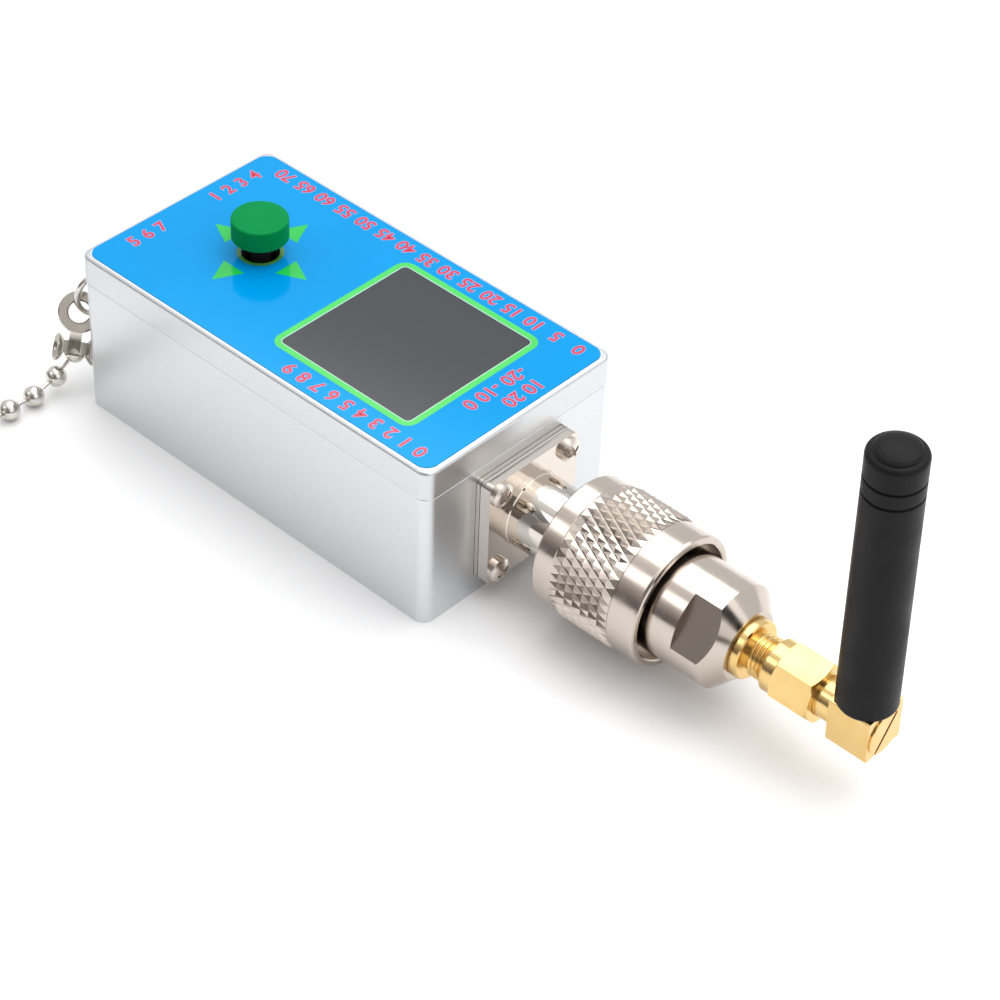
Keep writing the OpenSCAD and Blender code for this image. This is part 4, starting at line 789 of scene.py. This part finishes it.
# Input jack: a turned brass body with a square flange, plated in bright nickel,
# with four cross-head screws, a white insulator and a gold contact.
nickel = finish("nickel", (0.57, 0.505, 0.445), metallic=1.0, roughness=0.16)
lathe_lines = noise_in(nickel, 400, stretch=(12, 1, 1))
turned_depth = 0.006 * mm
dented(nickel, lathe_lines, turned_depth, strength=0.35)
uneven_gloss(nickel, noise_in(nickel, 500), 0.13, 0.22)
ptfe_white = finish("ptfe_white", (0.84, 0.84, 0.80), roughness=0.35, Subsurface_Weight=0.2)
mottled(ptfe_white, noise_in(ptfe_white, 400), (0.86, 0.86, 0.82), (0.80, 0.80, 0.77))
gold = finish("gold", (0.77, 0.54, 0.21), metallic=1.0, roughness=0.17)
uneven_gloss(gold, noise_in(gold, 700), 0.13, 0.24)
mottled(gold, noise_in(gold, 300), (0.80, 0.575, 0.25), (0.75, 0.51, 0.195))
polished_nickel = finish("polished_nickel", (0.70, 0.64, 0.58), metallic=1.0, roughness=0.07)
uneven_gloss(polished_nickel, noise_in(polished_nickel, 500), 0.05, 0.1)
screw_nickel = finish("screw_nickel", (0.75, 0.69, 0.63), metallic=1.0, roughness=0.28)
uneven_gloss(screw_nickel, noise_in(screw_nickel, 900), 0.22, 0.34)
dress(polished_nickel, "n_jack_body")
dress(nickel, "flange_backing")
dress(screw_nickel, "flange_screws")
backing_low, backing_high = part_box("flange_backing")
# Thin black sheets on both faces of the flange backing: painted shade of the joints between the
# plates.
joint_t = 0.07 * mm
joint_proud = 0.02 * mm
joint_side = backing_high[1] - backing_low[1] + 2 * joint_proud
joint_corner = 0.92 * mm
joint_hole_r = 6 * mm
joint_z = (backing_low[2] + backing_high[2]) / 2
for n, joint_x in enumerate((backing_low[0], backing_high[0])):
    joint_shade_sheet = flat_sheet(
        f"joint_line_{n}",
        [round_rect(middle, joint_side, joint_side, joint_corner),
         circle(middle, joint_hole_r)],
        -joint_t / 2, joint_t / 2, gap_shade_black)
    joint_shade_sheet.data.transform(
        Matrix.Translation((joint_x, 0, joint_z)) @ Matrix.Rotation(math.pi / 2, 4, "Y"))
    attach(joint_shade_sheet, "case")
dress(ptfe_white, "n_jack_insulator", "adapter_insulator", "elbow_insulator")
dress(gold, "n_jack_contact", "adapter_pin", "elbow_pin")

# Coupling nut: turned brass with a diamond knurl rolled between two plain bands,
# in bright nickel. It spins on the adapter behind a retaining ring.
nut_low, nut_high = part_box("n_nut")
axis_at = Vector((0, 0, (nut_low[2] + nut_high[2]) / 2))
outward = Vector((-1, 0, 0))
nut_from, nut_to = -nut_high[0], -nut_low[0]
ring_to = -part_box("n_nut_ring")[0][0]
jack_face = -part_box("n_jack_body")[0][0]
rear_band_l = 3.2 * mm
front_band_l = 4.55 * mm
band_sunk = 0.3 * mm
knurl_depth = 0.39 * mm
bed_sunk = 0.06 * mm
knurl_from = nut_from + rear_band_l
knurl_to = nut_to - front_band_l
knurl_r = (nut_high[1] - nut_low[1]) / 2
band_r = knurl_r - band_sunk
root_r = knurl_r - knurl_depth
bed_r = root_r - bed_sunk
knurl_count = 47
knurl_halves = 7
cross_depth = 0.8
thread_r = 7.98 * mm
mouth_r = 8.34 * mm
mouth_l = 1.2 * mm
mouth_cone_l = 0.4 * mm
mouth_cone_end = nut_from + mouth_l + mouth_cone_l
recess_r = 8.75 * mm
lip_r = 7.9 * mm
lip_l = 1.5 * mm
lip_gap = 0.02 * mm
chamber_r = 8.65 * mm
chamber_cone_l = 0.5 * mm
small_cut = 0.15 * mm
edge_cut = 0.3 * mm
front_cut_l = 0.5 * mm
front_cut_r = 0.42 * mm
lip_from = ring_to + lip_gap
nut_outline = [
    (nut_from + mouth_l, mouth_r), (nut_from + small_cut, mouth_r),
    (nut_from, mouth_r + small_cut), (nut_from, band_r - edge_cut),
    (nut_from + edge_cut / 3, band_r - edge_cut / 3), (nut_from + edge_cut, band_r),
    (knurl_from - small_cut, band_r), (knurl_from, bed_r), (knurl_to, bed_r),
    (knurl_to + small_cut, band_r), (nut_to - front_cut_l, band_r),
    (nut_to - small_cut, band_r - small_cut), (nut_to, band_r - front_cut_r),
    (nut_to, recess_r + small_cut), (nut_to - small_cut, recess_r),
    (lip_from + lip_l, recess_r), (lip_from + lip_l, lip_r), (lip_from, lip_r),
    (lip_from, chamber_r), (jack_face, chamber_r),
    (jack_face - chamber_cone_l, thread_r), (mouth_cone_end, thread_r)]
nut_turns = 4 * knurl_count
shape = bmesh.new()
rings = rings_of(shape, nut_outline, nut_turns, axis_at, outward)
joined(shape, [*rings, rings[0]])
half_row = (knurl_to - knurl_from) / knurl_halves
knot_parts = 100
knots = {}


def knot(row, half_step, height, radius=None):
    """A corner of the knurl, counted in half diamonds along and round the nut."""
    half_step %= 2 * knurl_count
    key = (round(knot_parts * row), round(knot_parts * half_step), radius)
    if key not in knots:
        reach_r = radius or root_r + knurl_depth * height
        angle = math.pi * half_step / knurl_count
        reach = reach_r * Vector((0, math.cos(angle), math.sin(angle)))
        knots[key] = shape.verts.new(
            axis_at + (knurl_from + row * half_row) * outward + reach)
    return knots[key]


def knot_by(row, half_step, across, along, height):
    """A corner counted from a diamond's middle, across and along its groove lines."""
    return knot(row + (across + along) / 2, half_step + (along - across) / 2, height)


saddle = 1 - cross_depth
for row in range(1, knurl_halves):
    for half_step in range(row % 2, 2 * knurl_count, 2):
        top = knot(row, half_step, 1)
        for hand in (1, -1):
            shape.faces.new((
                knot_by(row, half_step, -1, hand, 0), knot_by(row, half_step, 1, hand, 0),
                knot_by(row, half_step, 1, hand * cross_depth, saddle), top,
                knot_by(row, half_step, -1, hand * cross_depth, saddle)))
            shape.faces.new((
                knot_by(row, half_step, hand, -cross_depth, saddle),
                knot_by(row, half_step, hand, cross_depth, saddle), top))
inner_r = bed_r - edge_cut
for row, inward in ((0, 1), (knurl_halves, -1)):
    for half_step in range(row % 2, 2 * knurl_count, 2):
        a, b = knot(row, half_step - 1, 0), knot(row, half_step + 1, 0)
        c, d = (knot(row, half_step + h, 0, inner_r) for h in (-1, 1))
        shape.faces.new((a, b, knot(row + inward, half_step, 0)))
        shape.faces.new((a, b, d, c))
        shape.faces.new((
            knot_by(row, half_step, inward, -1, 0),
            knot_by(row, half_step, inward, -cross_depth, saddle),
            knot_by(row, half_step, inward, cross_depth, saddle),
            knot_by(row, half_step, inward, 1, 0)))
for half_step in range(1, 2 * knurl_count, 2):
    shape.faces.new((
        knot(0, half_step, 0, inner_r), knot(0, half_step + 2, 0, inner_r),
        knot(knurl_halves, half_step + 1, 0, inner_r),
        knot(knurl_halves, half_step - 1, 0, inner_r)))
coupling_nut = piece_of(shape, "coupling_nut", smooth_angle=20)
coupling_nut.data.materials.append(nickel)
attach(coupling_nut, "n_coupling_nut")
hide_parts("n_nut")
dress(spring_steel, "n_nut_ring", "sma_nut_ring")
gasket_red = finish("gasket_red", (0.35, 0.06, 0.03), roughness=0.6)
mottled(gasket_red, noise_in(gasket_red, 900), (0.38, 0.07, 0.035), (0.30, 0.05, 0.025))
dress(gasket_red, "n_gasket", "sma_gasket")

# Adapter: turned brass under bright nickel, with a cone towards the gold side. Its
# two wrench flats are milled, so they are rougher than the turned faces; their
# nickel is also darker, a painted shade that stands for the dark room they reflect.
# Darker nickel for the flats: painted shade of a dark reflection, over a real brushed grain.
brushed_nickel_painted_dark = finish("brushed_nickel_painted_dark", (0.44, 0.385, 0.34), metallic=1.0, roughness=0.3)
brushed_depth = 0.01 * mm
dented(brushed_nickel_painted_dark, noise_in(brushed_nickel_painted_dark, 900, stretch=(1, 14, 14)),
       brushed_depth, strength=0.6)
flats_turn = math.radians(-12)
flats_across = 13.2 * mm
flats_reach = 0.02 * mm
flats_area = 4 * mm * mm
square_on = 0.01
adapter_shell = copy_of("adapter_body", "adapter_shell")
adapter_shell.data.transform(
    Matrix.Translation(axis_at) @ Matrix.Rotation(flats_turn, 4, "X")
    @ Matrix.Translation(-axis_at))
adapter_shell.data.materials.append(nickel)
adapter_shell.data.materials.append(brushed_nickel_painted_dark)
for face in adapter_shell.data.polygons:
    reach = (face.center - axis_at).dot(face.normal)
    if abs(face.normal.x) < square_on and abs(reach - flats_across / 2) < flats_reach:
        face.material_index = int(face.area > flats_area)
smooth_below(adapter_shell.data, degrees=25)
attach(adapter_shell, "adapter")
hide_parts("adapter_body")

# Gold side: the adapter's jack, the hexagon nut and the square elbow are turned
# and milled brass under gold plate. The elbow's end is closed by a slotted cap.
dress(gold, "sma_nut", "elbow_body")
jack_low, jack_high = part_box("sma_jack")
tail_s, face_s = -jack_high[0], -jack_low[0]
tail_l = 5 * mm
tail_r = 3.1 * mm
collar_r = 4.35 * mm
collar_t = 1.4 * mm
collar_edge = 0.2 * mm
neck_r = 2.7 * mm
neck_l = 0.5 * mm
collar_from = tail_s + tail_l
collar_to = collar_from + collar_t
neck_end = collar_to + neck_l
thread_pitch = 0.7056 * mm
thread_top_r = 3.175 * mm
thread_depth = 0.38 * mm
thread_flat_share = 0.25
thread_lead = 0.3 * mm
thread_start = neck_end + thread_lead
thread_l = face_s - thread_lead - thread_start
rows_in_pitch = 8
thread_rows = round(rows_in_pitch * thread_l / thread_pitch)
jack_bore_r = 2.3 * mm
jack_core_r = 2.05 * mm
jack_bore_l = 3.6 * mm
jack_outline = [
    (tail_s, jack_core_r), (tail_s, tail_r), (collar_from, tail_r),
    (collar_from, collar_r - collar_edge), (collar_from + collar_edge, collar_r),
    (collar_to - collar_edge, collar_r), (collar_to, collar_r - collar_edge),
    (collar_to, neck_r), (neck_end, neck_r)]
first_turn = len(jack_outline)
jack_outline += [
    (thread_start + thread_l * k / thread_rows, thread_top_r) for k in range(thread_rows + 1)]
jack_outline += [
    (face_s, neck_r), (face_s, jack_bore_r), (face_s - jack_bore_l, jack_bore_r),
    (face_s - jack_bore_l, jack_core_r), (tail_s, jack_core_r)]
jack_turns = 72
shape = bmesh.new()
rings = rings_of(shape, jack_outline, jack_turns, axis_at, outward)
joined(shape, rings)
for n in range(first_turn, first_turn + thread_rows + 1):
    along = jack_outline[n][0]
    middle_at = axis_at + along * outward
    for k, corner in enumerate(rings[n]):
        phase = (along / thread_pitch - k / jack_turns) % 1
        flank = (1 + thread_flat_share) * abs(2 * phase - 1) - thread_flat_share
        drop = thread_depth * max(0, flank)
        corner.co = middle_at + (corner.co - middle_at) * (1 - drop / thread_top_r)
threaded_jack = piece_of(shape, "threaded_jack", smooth_angle=40)
threaded_jack.data.materials.append(gold)
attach(threaded_jack, "adapter")
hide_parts("sma_jack")
cap_low, cap_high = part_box("elbow_cap")
elbow_face = -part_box("elbow_body")[0][0]
plug_r = (cap_high[1] - cap_low[1]) / 2
disc_r = 3.2 * mm
disc_proud = 0.25 * mm
disc_edge = 0.08 * mm
disc_turns = 64
disc_slot_w = 0.5 * mm
disc_slot_depth = 0.35 * mm
disc_slot_lean = math.radians(36)
plug_from = -cap_high[0]
disc_to = elbow_face + disc_proud
disc_outline = [
    (plug_from, weld), (plug_from, plug_r), (elbow_face, plug_r), (elbow_face, disc_r),
    (disc_to - disc_edge, disc_r), (disc_to, disc_r - disc_edge), (disc_to, weld)]
shape = bmesh.new()
closed(shape, rings_of(shape, disc_outline, disc_turns, axis_at, outward))
slotted_cap = piece_of(shape, "slotted_cap")
shape = bmesh.new()
bmesh.ops.create_cube(shape, size=1)
shape.transform(
    Matrix.Translation(axis_at + disc_to * outward)
    @ Matrix.Rotation(disc_slot_lean, 4, "X")
    @ Matrix.Diagonal((2 * disc_slot_depth, disc_slot_w, 3 * disc_r, 1)))
cut_away(slotted_cap, piece_of(shape, "slot_cutter"))
slotted_cap.data.materials.append(gold)
smooth_below(slotted_cap.data, degrees=30)
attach(slotted_cap, "antenna")
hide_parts("elbow_cap")

# Stub antenna: a copper wire in a pale core, moulded over with black rubber that
# has two shallow grooves and a domed tip.
antenna_rubber = finish("antenna_rubber", (0.007, 0.0063, 0.007), roughness=0.45,
                        Specular_IOR_Level=0.14)
rubber_grain_depth = 0.012 * mm
dented(antenna_rubber, noise_in(antenna_rubber, 3000), rubber_grain_depth, strength=0.5)
uneven_gloss(antenna_rubber, noise_in(antenna_rubber, 250), 0.38, 0.52)
copper = finish("copper", (0.72, 0.38, 0.20), metallic=1.0, roughness=0.3)
uneven_gloss(copper, noise_in(copper, 900), 0.24, 0.38)
dress(antenna_rubber, "antenna_sheath")
dress(copper, "antenna_wire")
dress(socket_white, "antenna_core")

# Table and light: a white table under two large soft boxes, above the far side and
# beyond the input. The room is bright all over its far side and dim low down on the
# near side, with a bright patch above the rear and a dim one behind the camera.
table_side = 6.0
shape = bmesh.new()
bmesh.ops.create_grid(shape, x_segments=1, y_segments=1, size=table_side / 2)
table = piece_of(shape, "table")
table_white = finish("table_white", (0.92, 0.92, 0.92), roughness=0.7)
mottled(table_white, noise_in(table_white, 20), (0.925, 0.925, 0.925), (0.91, 0.91, 0.915))
table.data.materials.append(table_white)


def soft_light(name, place, sides, energy):
    """Hangs a rectangular soft light that faces the part."""
    light = bpy.data.lights.new(name, "AREA")
    light.shape = "RECTANGLE"
    light.size, light.size_y = sides
    light.energy = energy
    hung = bpy.data.objects.new(name, light)
    hung.matrix_world = Matrix.Translation(place) @ (
        place - aim_point).to_track_quat("Z", "Y").to_matrix().to_4x4()
    bpy.context.collection.objects.link(hung)


soft_box_at = Vector((0.05, -0.30, 0.85))
soft_box_sides = (1.1, 0.85)
fill_box_at = Vector((-0.75, 0.05, 0.75))
fill_box_sides = (1.2, 1.6)
soft_light("soft_box", soft_box_at, soft_box_sides, energy=5.9)
soft_light("fill_box", fill_box_at, fill_box_sides, energy=4.9)
room = bpy.data.worlds.new("room")
room.use_nodes = True
bpy.context.scene.world = room
room_tree = room.node_tree
room_light = room_tree.nodes["Background"]
room_light.inputs["Strength"].default_value = 1.0
look = room_tree.nodes.new("ShaderNodeTexCoord")
split = room_tree.nodes.new("ShaderNodeSeparateXYZ")
room_tree.links.new(look.outputs["Generated"], split.inputs["Vector"])
heights = room_tree.nodes.new("ShaderNodeValToRGB")
stops = [(0.0, (0.16, 0.15, 0.15)), (0.2, (0.21, 0.19, 0.19)), (0.31, (0.36, 0.33, 0.32)),
         (0.42, (0.52, 0.49, 0.48)), (0.52, (0.72, 0.71, 0.71)), (0.75, (0.66, 0.66, 0.67)),
         (0.86, (1.0, 1.0, 1.0)), (1.0, (1.2, 1.2, 1.2))]
ramp = heights.color_ramp
ramp.elements[0].position, ramp.elements[0].color = stops[0][0], (*stops[0][1], 1)
ramp.elements[1].position, ramp.elements[1].color = stops[-1][0], (*stops[-1][1], 1)
for place, tone in stops[1:-1]:
    ramp.elements.new(place).color = (*tone, 1)
room_tree.links.new(split.outputs["Z"], heights.inputs["Fac"])


def toward(line, edge, full, low, high):
    """A value that turns from low to high as the room's direction nears a line."""
    facing = room_tree.nodes.new("ShaderNodeVectorMath")
    facing.operation = "DOT_PRODUCT"
    facing.inputs[1].default_value = line.normalized()
    room_tree.links.new(look.outputs["Generated"], facing.inputs[0])
    easing = room_tree.nodes.new("ShaderNodeMapRange")
    easing.interpolation_type = "SMOOTHSTEP"
    easing.inputs["From Min"].default_value = edge
    easing.inputs["From Max"].default_value = full
    easing.inputs["To Min"].default_value = low
    easing.inputs["To Max"].default_value = high
    room_tree.links.new(facing.outputs["Value"], easing.inputs["Value"])
    return easing.outputs["Result"]


def room_mix(kind):
    """A node that mixes two colours of the room in full."""
    mix = room_tree.nodes.new("ShaderNodeMix")
    mix.data_type = "RGBA"
    mix.blend_type = kind
    mix.inputs["Factor"].default_value = 1
    return mix


near_side = Vector((-0.35, 0.93, 0))
strip_line = Vector((0.445, 0.60, 0.665))
far_side = room_mix("MIX")
far_side.inputs["A"].default_value = (0.88, 0.89, 0.90, 1)
near_share = toward(near_side, edge=-0.25, full=0.35, low=0, high=1)
room_tree.links.new(near_share, far_side.inputs["Factor"])
room_tree.links.new(heights.outputs["Color"], far_side.inputs["B"])
strip = room_mix("ADD")
strip_tone = toward(strip_line, edge=0.982, full=0.996, low=0, high=2)
room_tree.links.new(far_side.outputs["Result"], strip.inputs["A"])
room_tree.links.new(strip_tone, strip.inputs["B"])
shade = room_mix("MULTIPLY")
shade_tone = toward(back, edge=0.86, full=0.97, low=1, high=0.3)
room_tree.links.new(strip.outputs["Result"], shade.inputs["A"])
room_tree.links.new(shade_tone, shade.inputs["B"])
room_tree.links.new(shade.outputs["Result"], room_light.inputs["Color"])
bpy.context.scene.view_settings.view_transform = "Standard"
